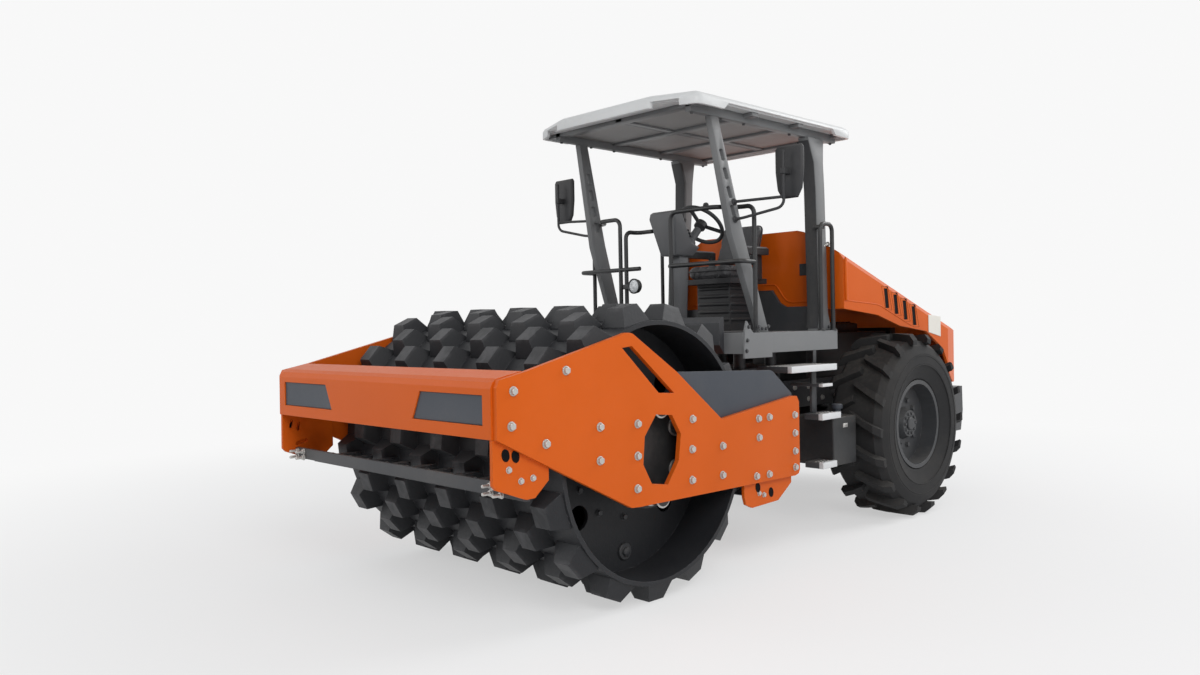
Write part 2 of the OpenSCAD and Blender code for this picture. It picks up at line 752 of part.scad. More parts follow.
// Platform, with a gusset outside each front corner
floor_front = pivot_x + floor_reach;
floor_rear = hood_front_x + 17;
floor_l = floor_front - floor_rear;

module platform_floor() {
    ff = floor_front;
    fz = floor_z;
    color(post_grey) {
        difference() {
            box([floor_rear, -floor_y, fz - band_h], [ff, floor_y, fz]);
            box([floor_rear + floor_t, -floor_y + floor_t, fz - band_h - 1],
                [ff - floor_t, floor_y - floor_t, fz - floor_t]);
        }
        both_sides() side_sheet([[ff - 310, fz - 170], [ff + 4, fz - 170], [ff + 4, fz - 90],
            [ff - 8, fz + 20], [ff - 28, fz + 80], [ff - 66, fz + 30], [ff - 96, fz], [ff - 310, fz]],
            floor_y - 2, 14);
    }
}

// Toe board in front of the platform
module platform_cowl() {
    ff = floor_front;
    half = floor_y - 160;
    color(dark_grey) side_sheet([[ff, floor_z - band_h], [ff + 50, floor_z - band_h + 60],
        [ff + 50, floor_z + 70], [ff + 20, floor_z + 110], [ff, floor_z + 110]], -half, 2 * half);
}

module rear_bulkhead() {
    half = foot_y - rear_post_t / 2 - seat_gap;
    low = floor_z + 185;
    color(dark_grey) front_sheet([[-half, floor_z], [half, floor_z], [half, low], [360, low],
        [300, low + 35], [230, low + 135], [-230, low + 135], [-300, low + 35], [-360, low], [-half, low]],
        floor_rear, 25);
}

// Roof with rounded corners on a frame of two long beams and four cross beams
roof_z = floor_z + roof_rise;
roof_low = roof_z - roof_h;
roof_front = floor_front + 385;
roof_rear = roof_front - roof_l;
roof_y = roof_w / 2;
roof_skirt = 22;
roof_corner = 60;
frame_low = roof_low - 25;
frame_top = roof_low + 35;
top_y = roof_y - post_inset;
foot_y = floor_y - foot_inset;
post_top = frame_low;
lean = (top_y - foot_y) / (post_top - floor_z);

module canopy_roof() {
    x0 = roof_rear;
    x1 = roof_front;
    rim_z = roof_z - roof_h / 2;
    color(roof_white) difference() {
        intersection() {
            side_sheet([[x0, roof_low + 12], [x0 + 12, roof_low], [x1 - 12, roof_low], [x1, roof_low + 12],
                [x1, rim_z], [x1 - 16, rim_z + 22], [x1 - 50, roof_z - 8], [x1 - 110, roof_z],
                [x0 + 110, roof_z], [x0 + 50, roof_z - 8], [x0 + 16, rim_z + 22], [x0, rim_z]],
                -roof_y, roof_w);
            front_sheet([[-roof_y, roof_low + 12], [-roof_y + 12, roof_low], [roof_y - 12, roof_low],
                [roof_y, roof_low + 12], [roof_y, rim_z], [roof_y - 16, rim_z + 22],
                [roof_y - 50, roof_z - 8], [roof_y - 110, roof_z], [-roof_y + 110, roof_z],
                [-roof_y + 50, roof_z - 8], [-roof_y + 16, rim_z + 22], [-roof_y, rim_z]], x0, roof_l);
            translate([0, 0, roof_low]) linear_extrude(roof_h) union() {
                translate([x0 + roof_corner, -roof_y]) square([roof_l - 2 * roof_corner, roof_w]);
                translate([x0, -roof_y + roof_corner]) square([roof_l, roof_w - 2 * roof_corner]);
                for (x = [x0 + roof_corner, x1 - roof_corner], s = [-1, 1])
                    translate([x, s * (roof_y - roof_corner)]) circle(r = roof_corner);
            }
        }
        box([x0 + 50, -roof_y + roof_skirt, roof_low - 1], [x1 - 50, roof_y - roof_skirt, frame_top]);
    }
}

module canopy_frame() {
    x0 = roof_rear + 60;
    x1 = roof_front - 60;
    half = roof_y - roof_skirt - 8;
    bay = (x1 - x0 - 70) / 3;
    color(dark_grey) {
        both_sides() box([x0, top_y - post_t / 2, frame_low], [x1, top_y + post_t / 2, frame_top]);
        for (i = [0 : 3]) box([x0 + bay * i, -half, roof_low + 6], [x0 + bay * i + 70, half, frame_top]);
        box([x0, -30, roof_low + 10], [x1, 30, frame_top]);
    }
}

// Posts; both lean when the roof and the platform differ in width
module leaning() {
    multmatrix([[1, 0, 0, 0], [0, 1, lean, foot_y - lean * floor_z], [0, 0, 1, 0], [0, 0, 0, 1]]) children();
}

module front_post(side) {
    ff = floor_front;
    h = post_top - floor_z;
    slot_turn = -16;
    color(post_grey) on_side(side) leaning() difference() {
        side_sheet([[ff - 277, floor_z], [ff - 14, floor_z + 0.462 * h], [ff + 187, post_top],
            [ff + 82, post_top], [ff - 160, floor_z + 0.478 * h], [ff - 480, floor_z]], -post_t / 2, post_t);
        for (i = [0 : 4]) translate([ff - 72 + 36 * i, 0, floor_z + (0.57 + 0.085 * i) * h])
            rotate([0, -slot_turn, 0]) box([-14, -post_t, -38], [14, post_t, 38]);
    }
}

module rear_post(side) {
    x = floor_rear;
    t = rear_post_t;
    joint = post_top - 185;
    color(post_grey) on_side(side) leaning() difference() {
        side_sheet([[x + 178, floor_z], [x + 160, floor_z + 50], [x + 143, floor_z + 130],
            [x + 143, joint - 200], [x + 155, joint], [x + 228, post_top], [x + 18, post_top],
            [x + 30, joint], [x + 23, joint - 200], [x + 23, floor_z + 130], [x + 8, floor_z + 50],
            [x, floor_z]], -t / 2, t);
        side_sheet([[x + 62, post_top + 1], [x + 86, joint + 40], [x + 128, joint + 40],
            [x + 184, post_top + 1]], -t, 2 * t);
    }
}

// Operator station
wheel_tilt = 43.8;
wheel_axis = [-sin(wheel_tilt), 0, cos(wheel_tilt)];
wheel_centre = [floor_front - 552, 0, floor_z + 820];
wheel_r = 180;
wheel_hub_l = 25;

module console() {
    ff = floor_front;
    fz = floor_z;
    color(dark_grey) {
        side_sheet([[ff - 205, fz], [ff - 45, fz], [ff - 45, fz + 420], [ff - 45, fz + 530],
            [ff - 260, fz + 530], [ff - 215, fz + 400]], -95, 190);
        side_sheet([[ff - 275, fz + 520], [ff - 45, fz + 520], [ff + 18, fz + 840], [ff + 8, fz + 880],
            [ff - 22, fz + 896], [ff - 70, fz + 890], [ff - 215, fz + 670], [ff - 315, fz + 640]],
            -130, 260);
        bar(wheel_centre - 370 * wheel_axis, wheel_centre - (wheel_hub_l + seat_gap) * wheel_axis, 30);
        side_sheet([[ff - 230, fz], [ff - 30, fz], [ff - 45, fz + 60], [ff - 210, fz + 60]], -140, 280);
    }
}

module steering_wheel() {
    color(black) translate(wheel_centre) rotate([0, -wheel_tilt, 0]) {
        rotate_extrude() translate([wheel_r, 0]) circle(r = 15);
        translate([0, 0, -wheel_hub_l]) cylinder(h = 40, r = 45);
        for (i = [0 : 2]) rotate(120 * i) translate([30, -15, -8]) cube([wheel_r - 30, 30, 12]);
    }
}

seat_x = floor_rear + 86 + 0.2 * floor_l;
pan_z = floor_z + 410;
cushion_h = 100;
cushion_top = pan_z + cushion_h;

module seat_base() {
    color(black) {
        box([seat_x - 220, -200, floor_z], [seat_x + 200, 200, floor_z + 60]);
        box([seat_x - 160, -160, floor_z + 55], [seat_x + 150, 160, pan_z - 30]);
        box([seat_x - 230, -230, pan_z - 40], [seat_x + 230, 230, pan_z]);
        both_sides() box([seat_x - 150, 215, pan_z - 10], [seat_x - 100, 245, pan_z + 190]);
        both_sides() box([seat_x - 180, 235, pan_z + 180], [seat_x + 160, 290, pan_z + 230]);
    }
}

module seat_cushion() {
    color(black) box([seat_x - 200, -210, pan_z + seat_gap], [seat_x + 260, 210, cushion_top]);
}

module seat_back() {
    foot = cushion_top + seat_gap;
    color(black) side_sheet([[seat_x - 200, foot], [seat_x - 90, foot], [seat_x - 190, foot + 430],
        [seat_x - 265, foot + 430]], -205, 410);
}

// Handrails
tube_r = 16;
grip_z = floor_z + 860;
mid_z = floor_z + 480;
inner_y = 243;
outer_y = 316;
rail_x = floor_front - tube_r - 4;

module handrails() {
    fx = rail_x;
    back_x = floor_front - 170;
    out_y = floor_y - 20;
    color(dark_grey) {
        both_sides() tube_run([[fx, outer_y, floor_z], [fx, outer_y, grip_z], [fx, floor_y - 240, grip_z],
            [back_x, floor_y - 160, grip_z], [back_x, out_y, grip_z], [back_x, out_y, floor_z]], tube_r);
        both_sides() tube_run([[fx, inner_y, floor_z], [fx, inner_y, grip_z - 100],
            [fx, 130 + seat_gap, grip_z - 100]], tube_r);
        bar([fx, -out_y, mid_z], [fx, out_y, mid_z], tube_r);
        both_sides() bar([fx, out_y, mid_z], [back_x, out_y, mid_z], tube_r);
        both_sides() tube_run([[floor_rear + 20, out_y, floor_z], [floor_rear + 20, out_y, floor_z + 800],
            [floor_rear + 190, out_y, floor_z + 800], [floor_rear + 190, out_y, floor_z]], tube_r);
    }
}

// Mirrors on two tube arms; the right one stands further forward
function post_face(z) = foot_y + lean * (z - floor_z) + post_t / 2;

module mirror_arm(side, base_x, head_x) {
    low = floor_z + 0.53 * (post_top - floor_z);
    high = floor_z + 0.612 * (post_top - floor_z);
    y1 = floor_y + 155;
    color(dark_grey) on_side(side) {
        tube_run([[base_x, post_face(low), low], [base_x, post_face(low) + 40, low],
            [head_x, y1, low + 65], [head_x, y1, low + 435]], 10);
        tube_run([[base_x, post_face(high), high], [base_x, post_face(high) + 40, high],
            [head_x, y1, low + 130]], 10);
        translate([head_x - 32, floor_y + 200, low + 125]) front_sheet([[-60, 0], [60, 0], [95, 60],
            [110, 180], [110, 330], [95, 350], [-95, 350], [-110, 330], [-110, 180], [-95, 60]], 0, 24);
    }
}

// Steps: two treads on the side box, one under the platform on a bracket
module entry_steps() {
    step_front = pivot_x - 285;
    l = step_front - box_front;
    y0 = floor_y - 140;
    y1 = floor_y + 150;
    top_z = floor_z - 280;
    plate_z = top_z - 115;
    color(tread_grey) both_sides() {
        box([box_front - 60, y0, box_low - 42], [step_front, y1, box_low]);
        box([box_front - 60, y0, box_high], [step_front, y1, box_high + 40]);
        box([box_front + 10, y0, top_z], [pivot_x - 40, y1, top_z + 43]);
        box([box_front + 0.25 * l, y0 + 20, plate_z], [step_front - 10, y1 - 20, plate_z + 20]);
        box([box_front + 0.28 * l, floor_y, box_high + 39], [box_front + 0.63 * l, floor_y + 20, top_z + 1]);
        box([box_front + 150, floor_y - floor_t, top_z + 42], [box_front + 190, floor_y, floor_z - band_h]);
    }
}

module side_boxes() {
    color(black) both_sides() box([box_rear, box_in, box_low], [box_front, box_out, box_high]);
}

// Work lamp between the right-hand rails
module work_lamp() {
    x = rail_x + tube_r + seat_gap;
    color(black) translate([x, -(inner_y + outer_y) / 2, floor_z + 350]) rotate([0, 90, 0]) difference() {
        union() {
            cylinder(h = 52, r = 60);
            translate([0, 0, 40]) cylinder(h = 14, r = 66);
        }
        translate([0, 0, 44]) cylinder(h = 11, r = 56);
    }
}

rear_chassis();
rear_axle();
engine_block();
rear_counterweight();
platform_floor();
platform_cowl();
rear_bulkhead();
front_post(1);  // front_post_left
front_post(-1);  // front_post_right
rear_post(1);  // rear_post_left
rear_post(-1);  // rear_post_right
canopy_roof();
canopy_frame();
console();
steering_wheel();
seat_base();
seat_cushion();
seat_back();
handrails();
mirror_arm(1, floor_front - 75, floor_front - 200);  // mirror_left
mirror_arm(-1, floor_front - 45, floor_front + 10);  // mirror_right
entry_steps();
side_boxes();
work_lamp();
hood_shell();
hood_grille();
rim(1);  // rim_left
rim(-1);  // rim_right
tyre(1);  // tyre_left
tyre(-1);  // tyre_right
yoke();
steer_barrel(1);  // barrel_left
steer_barrel(-1);  // barrel_right
steer_rod(1);  // rod_left
steer_rod(-1);  // rod_right
side_plate(1);  // side_plate_left
side_plate(-1);  // side_plate_right
side_covers();
front_beam();
rear_beam();
drum_mount(1);  // drum_mount_left
drum_mount(-1);  // drum_mount_right
scraper_front();
scraper_rear();
drum_shell();
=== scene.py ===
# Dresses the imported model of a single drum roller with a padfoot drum.
import json
import math

import bpy
from mathutils import Matrix, Vector

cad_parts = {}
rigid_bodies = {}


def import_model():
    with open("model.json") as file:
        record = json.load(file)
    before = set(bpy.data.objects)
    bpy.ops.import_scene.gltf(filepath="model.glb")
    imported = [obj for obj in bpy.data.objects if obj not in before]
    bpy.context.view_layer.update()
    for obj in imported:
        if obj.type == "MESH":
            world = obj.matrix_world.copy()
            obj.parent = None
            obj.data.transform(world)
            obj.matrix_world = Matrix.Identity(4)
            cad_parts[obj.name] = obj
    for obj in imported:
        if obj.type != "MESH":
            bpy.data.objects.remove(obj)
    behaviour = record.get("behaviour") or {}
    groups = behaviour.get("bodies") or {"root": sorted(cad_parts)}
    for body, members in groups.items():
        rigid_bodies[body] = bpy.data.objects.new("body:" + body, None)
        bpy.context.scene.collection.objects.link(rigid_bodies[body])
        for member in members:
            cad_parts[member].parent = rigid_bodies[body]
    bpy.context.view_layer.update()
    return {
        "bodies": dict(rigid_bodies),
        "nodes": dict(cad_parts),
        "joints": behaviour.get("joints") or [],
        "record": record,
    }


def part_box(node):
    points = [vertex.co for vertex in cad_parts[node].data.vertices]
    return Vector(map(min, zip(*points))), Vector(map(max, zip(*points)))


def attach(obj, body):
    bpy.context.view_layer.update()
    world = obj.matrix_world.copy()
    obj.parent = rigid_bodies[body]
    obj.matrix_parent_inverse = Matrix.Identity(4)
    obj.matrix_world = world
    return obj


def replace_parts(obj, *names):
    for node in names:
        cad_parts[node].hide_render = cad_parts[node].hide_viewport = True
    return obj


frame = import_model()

# Camera: in front of the machine and to its left, a little below the height of the steering wheel.
# Place, heading and lens were fitted to the drum's rim, the front beam and the roof's corners.
camera_place = (5.528, 4.539, 1.545)
heading, pitch, roll = (math.radians(a) for a in (-134.175, -0.725, -1.051))
camera = bpy.data.objects.new("camera", bpy.data.cameras.new("camera"))
camera.data.lens = 27.81
camera.data.sensor_width = 36.0
camera.data.clip_end = 400.0
camera.matrix_world = (
    Matrix.Translation(camera_place)
    @ Matrix.Rotation(heading - math.pi / 2, 4, "Z")
    @ Matrix.Rotation(math.pi / 2 + pitch, 4, "X")
    @ Matrix.Rotation(roll, 4, "Z")
)
bpy.context.collection.objects.link(camera)
bpy.context.scene.camera = camera


# Studio: a pale floor, an even white surrounding and three large soft lamps: a key from the front left,
# a weaker one from the front right and one from behind that draws the upper edges.
def shader(tree, kind, feeds=None, **fields):
    """Adds one shader node, sets its fields, and links or fills its inputs."""
    made = tree.nodes.new("ShaderNode" + kind)
    for field, value in fields.items():
        setattr(made, field, value)
    for socket, value in (feeds or {}).items():
        if isinstance(value, bpy.types.NodeSocket):
            tree.links.new(value, made.inputs[socket])
        else:
            made.inputs[socket].default_value = value
    return made


def new_material(name):
    """An empty node material and its tree."""
    made = bpy.data.materials.new(name)
    made.use_nodes = True
    made.node_tree.nodes.clear()
    return made, made.node_tree


world = bpy.data.worlds.new("studio")
bpy.context.scene.world = world
world.use_nodes = True
air = world.node_tree
air.nodes.clear()
path = shader(air, "LightPath")
seen = shader(air, "Math", {0: path.outputs["Is Camera Ray"], 1: path.outputs["Is Glossy Ray"]}, operation="MAXIMUM")
seen = shader(air, "Math", {0: seen.outputs[0], 1: path.outputs["Is Transmission Ray"]}, operation="MAXIMUM")
light = shader(air, "Background", {"Color": (0.95, 0.97, 1.0, 1.0), "Strength": 0.42})
backdrop = shader(air, "Background", {"Color": (1.0, 1.0, 1.0, 1.0), "Strength": 0.94})
mixed = shader(air, "MixShader", {0: seen.outputs[0], 1: light.outputs[0], 2: backdrop.outputs[0]})
shader(air, "OutputWorld", {"Surface": mixed.outputs[0]})

bpy.ops.object.select_all(action="DESELECT")
bpy.ops.mesh.primitive_plane_add(size=160, location=(0, 0, -0.002))
floor = bpy.context.object
floor.name = "studio_floor"
pale, tree = new_material("pale floor")
coat = shader(tree, "BsdfPrincipled", {"Base Color": (0.88, 0.88, 0.88, 1.0), "Roughness": 0.85, "Specular IOR Level": 0.2})
far = shader(tree, "VectorMath", {0: shader(tree, "TexCoord").outputs["Object"]}, operation="LENGTH").outputs["Value"]
far = shader(tree, "MapRange", {"Value": far, "From Min": 2.5, "From Max": 8.5, "To Min": 0.55},
             interpolation_type="SMOOTHSTEP").outputs["Result"]
path = shader(tree, "LightPath")
seen = shader(tree, "Math", {0: path.outputs["Is Camera Ray"], 1: path.outputs["Is Glossy Ray"]}, operation="MAXIMUM")
share = shader(tree, "Math", {0: far, 1: seen.outputs[0]}, operation="MULTIPLY")
even = shader(tree, "Emission", {"Color": (1.0, 1.0, 1.0, 1.0), "Strength": 0.94})
mixed = shader(tree, "MixShader", {0: share.outputs[0], 1: coat.outputs[0], 2: even.outputs[0]})
shader(tree, "OutputMaterial", {"Surface": mixed.outputs[0]})
floor.data.materials.append(pale)

for name, place, size, watts in (
    ("key", (5.5, 8.0, 6.5), 5.0, 420),
    ("fill", (8.5, -5.5, 4.5), 5.0, 170),
    ("back", (-7.5, 4.0, 7.0), 5.0, 420),
):
    lamp = bpy.data.objects.new(name, bpy.data.lights.new(name, "AREA"))
    lamp.data.size = size
    lamp.data.energy = watts
    lamp.location = place
    lamp.rotation_euler = (Vector((0, 0, 1.2)) - Vector(place)).to_track_quat("-Z", "Y").to_euler()
    bpy.context.collection.objects.link(lamp)

bpy.context.scene.view_settings.view_transform = "Standard"


# Side plates: 30 mm steel plates cut by flame, sprayed orange. The paint has a faint orange peel, rubs thin
# along the cut edges and takes a little dust on what faces up. Hex bolts hold what sits behind the plate.
def weather_group():
    """Shader group for sprayed and cast surfaces: mottled colour, worn edges, dust and fine grain."""
    tree = bpy.data.node_groups.new("weather", "ShaderNodeTree")
    for name, kind in (("Colour", "Color"), ("Edge Colour", "Color"), ("Dust Colour", "Color"), ("Roughness", "Float"),
                       ("Edge Wear", "Float"), ("Dust", "Float"), ("Mottle", "Float"), ("Grain", "Float"),
                       ("Grain Size", "Float")):
        tree.interface.new_socket(name, in_out="INPUT", socket_type="NodeSocket" + kind)
    for name, kind in (("Colour", "Color"), ("Roughness", "Float"), ("Normal", "Vector")):
        tree.interface.new_socket(name, in_out="OUTPUT", socket_type="NodeSocket" + kind)
    given = tree.nodes.new("NodeGroupInput").outputs
    place = shader(tree, "TexCoord").outputs["Object"]
    facing = shader(tree, "NewGeometry").outputs["Normal"]
    broad = shader(tree, "TexNoise", {"Vector": place, "Scale": 2.3, "Detail": 4.0}).outputs["Fac"]
    fine = shader(tree, "TexNoise", {"Vector": place, "Scale": 38.0, "Detail": 6.0}).outputs["Fac"]
    peel = shader(tree, "TexNoise", {"Vector": place, "Scale": given["Grain Size"], "Detail": 2.0}).outputs["Fac"]
    soft = shader(tree, "Bevel", {"Radius": 0.004}, samples=4).outputs["Normal"]
    bent = shader(tree, "VectorMath", {0: soft, 1: facing}, operation="DOT_PRODUCT").outputs["Value"]
    edge = shader(tree, "MapRange", {"Value": bent, "From Min": 0.985, "From Max": 0.80}).outputs["Result"]
    chips = shader(tree, "MapRange", {"Value": fine, "From Min": 0.46, "From Max": 0.62}).outputs["Result"]
    worn = shader(tree, "Math", {0: edge, 1: chips}, operation="MULTIPLY").outputs[0]
    worn = shader(tree, "Math", {0: worn, 1: given["Edge Wear"]}, operation="MULTIPLY", use_clamp=True).outputs[0]
    up = shader(tree, "SeparateXYZ", {0: facing}).outputs["Z"]
    lying = shader(tree, "MapRange", {"Value": up, "From Min": -0.2, "From Max": 1.0, "To Min": 0.12}).outputs["Result"]
    settled = shader(tree, "MapRange", {"Value": broad, "From Min": 0.38, "From Max": 0.66}).outputs["Result"]
    specks = shader(tree, "MapRange", {"Value": fine, "From Min": 0.3, "From Max": 0.75, "To Min": 0.35}).outputs["Result"]
    dust = shader(tree, "Math", {0: lying, 1: settled}, operation="MULTIPLY").outputs[0]
    dust = shader(tree, "Math", {0: dust, 1: specks}, operation="MULTIPLY").outputs[0]
    dust = shader(tree, "Math", {0: dust, 1: given["Dust"]}, operation="MULTIPLY", use_clamp=True).outputs[0]
    shade = shader(tree, "Math", {0: broad, 1: 0.5}, operation="SUBTRACT").outputs[0]
    shade = shader(tree, "Math", {0: shade, 1: given["Mottle"], 2: 1.0}, operation="MULTIPLY_ADD").outputs[0]
    toned = shader(tree, "VectorMath", {0: given["Colour"], "Scale": shade}, operation="SCALE").outputs[0]
    rubbed = shader(tree, "Mix", {0: worn, 6: toned, 7: given["Edge Colour"]}, data_type="RGBA").outputs[2]
    dusty = shader(tree, "Mix", {0: dust, 6: rubbed, 7: given["Dust Colour"]}, data_type="RGBA").outputs[2]
    rough = shader(tree, "Math", {0: fine, 1: 0.14, 2: -0.07}, operation="MULTIPLY_ADD").outputs[0]
    rough = shader(tree, "Math", {0: rough, 1: given["Roughness"]}, operation="ADD").outputs[0]
    rough = shader(tree, "Math", {0: dust, 1: 0.45, 2: rough}, operation="MULTIPLY_ADD", use_clamp=True).outputs[0]
    skin = shader(tree, "Bump", {"Height": peel, "Strength": 1.0, "Distance": given["Grain"], "Normal": soft})
    shader_out = tree.nodes.new("NodeGroupOutput").inputs
    tree.links.new(dusty, shader_out["Colour"])
    tree.links.new(rough, shader_out["Roughness"])
    tree.links.new(skin.outputs["Normal"], shader_out["Normal"])
    return tree


weather = weather_group()
dust_tan = (0.30, 0.27, 0.23, 1.0)


def finish(name, colour, roughness, edge, wear=0.6, dust=0.35, mottle=0.25, grain=0.0003, size=260.0, **fixed):
    """A material with the weather group between its colour and the surface; fixed are the shader's own values."""
    made, tree = new_material(name)
    look = shader(tree, "Group", node_tree=weather)
    for socket, value in (("Colour", (*colour, 1.0)), ("Edge Colour", (*edge, 1.0)), ("Dust Colour", dust_tan),
                          ("Roughness", roughness), ("Edge Wear", wear), ("Dust", dust), ("Mottle", mottle),
                          ("Grain", grain), ("Grain Size", size)):
        look.inputs[socket].default_value = value
    coat = shader(tree, "BsdfPrincipled", {"Base Color": look.outputs["Colour"], "Roughness": look.outputs["Roughness"],
                                           "Normal": look.outputs["Normal"]})
    for socket, value in fixed.items():
        coat.inputs[socket.replace("_", " ")].default_value = value
    shader(tree, "OutputMaterial", {"Surface": coat.outputs[0]})
    return made


def dress(material, *nodes):
    """Puts a finish on CAD nodes in place of their plain one."""
    for node in nodes:
        skin = frame["nodes"][node].data.materials
        skin.clear()
        skin.append(material)


orange_paint = finish("orange paint", (0.66, 0.110, 0.006), 0.40, (0.88, 0.30, 0.08), wear=0.35, dust=0.08,
                      mottle=0.15, Specular_IOR_Level=0.16)
dress(orange_paint, "side_plate_left", "side_plate_right", "front_beam", "rear_beam")


def pick(piece, test):
    """Leaves the piece in edit mode with the faces selected whose centre and normal pass the test."""
    bpy.ops.object.mode_set(mode="EDIT")
    bpy.ops.mesh.select_mode(type="FACE")
    bpy.ops.mesh.select_all(action="DESELECT")
    bpy.ops.object.mode_set(mode="OBJECT")
    for face in piece.data.polygons:
        face.select = test(face.center, face.normal)
    bpy.ops.object.mode_set(mode="EDIT")


def settle(piece, name, material, body, edge=0.0, smooth=35):
    """Finishes a piece: place into its mesh, small bevels, smooth shading, material and body."""
    bpy.ops.object.mode_set(mode="OBJECT")
    bpy.ops.object.select_all(action="DESELECT")
    piece.select_set(True)
    bpy.context.view_layer.objects.active = piece
    bpy.ops.object.transform_apply(location=True, rotation=True, scale=True)
    if edge:
        bevel = piece.modifiers.new("edge", "BEVEL")
        bevel.width = edge
        bevel.segments = 2
        bevel.limit_method = "ANGLE"
        bevel.angle_limit = math.radians(35)
        bpy.ops.object.modifier_apply(modifier=bevel.name)
    bpy.ops.object.shade_smooth_by_angle(angle=math.radians(smooth))
    piece.name = name
    piece.data.name = name
    piece.data.materials.clear()
    piece.data.materials.append(material)
    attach(piece, body)
    return piece


# Near-black used as painted shade: it fills holes, slots and the space behind the grille, which lie in shade.
shadow_black, tree = new_material("shadow black")
coat = shader(tree, "BsdfPrincipled", {"Base Color": (0.006, 0.006, 0.007, 1), "Roughness": 0.8, "Specular IOR Level": 0.1})
shader(tree, "OutputMaterial", {"Surface": coat.outputs[0]})


def turned(profile, around=32):
    """A turned piece about Z: a disc drawn out ring by ring through pairs of radius and height."""
    radius, height = profile[0]
    bpy.ops.object.select_all(action="DESELECT")
    bpy.ops.mesh.primitive_circle_add(vertices=around, radius=radius, fill_type="NGON", location=(0, 0, height))
    piece = bpy.context.object
    bpy.ops.object.transform_apply(location=True, rotation=True, scale=True)
    bpy.ops.object.mode_set(mode="EDIT")
    bpy.ops.mesh.select_all(action="SELECT")
    for next_radius, next_height in profile[1:]:
        bpy.ops.mesh.extrude_region_move(TRANSFORM_OT_translate={"value": (0, 0, next_height - height)})
        share = next_radius / radius
        bpy.ops.transform.resize(value=(share, share, 1), center_override=(0, 0, next_height))
        radius, height = next_radius, next_height
    bpy.ops.mesh.select_all(action="SELECT")
    bpy.ops.mesh.normals_make_consistent(inside=False)
    bpy.ops.object.mode_set(mode="OBJECT")
    return piece


def set_out(pattern, places):
    """Copies a pattern, each copy with its own mesh, to the places given as matrices, and joins the copies."""
    made = []
    for place in places:
        piece = pattern.copy()
        piece.data = pattern.data.copy()
        piece.data.transform(place)
        if place.determinant() < 0:
            piece.data.flip_normals()
        piece.matrix_world = Matrix.Identity(4)
        bpy.context.collection.objects.link(piece)
        made.append(piece)
    bpy.data.objects.remove(pattern)
    bpy.ops.object.select_all(action="DESELECT")
    for piece in made:
        piece.select_set(True)
    bpy.context.view_layer.objects.active = made[0]
    if len(made) > 1:
        bpy.ops.object.join()
    return made[0]


def hex_bolt(size):
    """A hex head on its washer, standing on the XY plane, size across the corners."""
    bpy.ops.object.select_all(action="DESELECT")
    bpy.ops.mesh.primitive_cylinder_add(vertices=24, radius=size * 0.62, depth=size * 0.10, location=(0, 0, size * 0.05))
    washer = bpy.context.object
    bpy.ops.mesh.primitive_cylinder_add(vertices=6, radius=size * 0.5, depth=size * 0.36, location=(0, 0, size * 0.28))
    head = bpy.context.object
    pick(head, lambda centre, normal: normal.z > 0.9)
    bpy.ops.mesh.inset(thickness=size * 0.06)
    bpy.ops.transform.translate(value=(0, 0, size * 0.045))
    bpy.ops.mesh.inset(thickness=size * 0.16)
    bpy.ops.transform.translate(value=(0, 0, -size * 0.03))
    bpy.ops.object.mode_set(mode="OBJECT")
    washer.select_set(True)
    head.select_set(True)
    bpy.context.view_layer.objects.active = head
    bpy.ops.object.join()
    bpy.ops.object.transform_apply(location=True, rotation=True, scale=True)
    return head


plated = finish("plated steel", (0.52, 0.51, 0.49), 0.36, (0.78, 0.77, 0.75), dust=0.25, Metallic=0.55)
outward = {1: Matrix.Rotation(-math.pi / 2, 4, "X"), -1: Matrix.Rotation(math.pi / 2, 4, "X")}
drum_x = 1.705
plate_bolts = (
    (1.079, 1.244), (1.094, 1.079), (0.881, 0.975), (0.742, 1.326), (0.514, 1.025), (0.518, 0.852), (0.234, 1.017),
    (0.238, 0.845), (0.243, 0.670), (-0.219, 1.005), (-0.211, 0.834), (-0.207, 0.659), (-0.489, 0.824),
    (-0.484, 0.653), (-0.845, 0.956), (-0.957, 0.956), (-0.848, 0.839), (-0.816, 0.604), (-0.947, 0.600),
    (-1.235, 0.948), (-1.235, 0.831), (-1.235, 0.714), (-1.235, 0.610),
)
tab_bolts = ((1.091, 0.870), (1.018, 0.808), (0.943, 0.814), (-0.93, 0.47), (-0.88, 0.486))
for side, hand in ((1, "left"), (-1, "right")):
    low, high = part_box("side_plate_" + hand)
    face_y = side * (high.y if side > 0 else -low.y)
    tab_y = side * 1.090
    places = [Matrix.Translation((drum_x + x, face_y, z)) @ outward[side] for x, z in plate_bolts]
    places += [Matrix.Translation((drum_x + x, tab_y, z)) @ outward[side] @ Matrix.Scale(0.72, 4) for x, z in tab_bolts]
    settle(set_out(hex_bolt(0.038), places), "plate_bolts_" + hand, plated, "front_frame")
    # Near-black oval discs in the tabs' eyes: painted shade inside the holes.
    eye = turned([(0.023, -0.001), (0.023, 0.005), (0.019, 0.005), (0.017, 0.0035)], 28)
    eyes = [Matrix.Translation((x, tab_y, z)) @ Matrix.Rotation(math.radians(side * 14), 4, "Y") @ outward[side]
            @ Matrix.Diagonal((1, 1.35, 1, 1)) for x, z in ((2.815, 0.941), (2.755, 0.930), (0.838, 0.523), (0.700, 0.476))]
    settle(set_out(eye, eyes), "tab_eye_shade_" + hand, shadow_black, "front_frame")

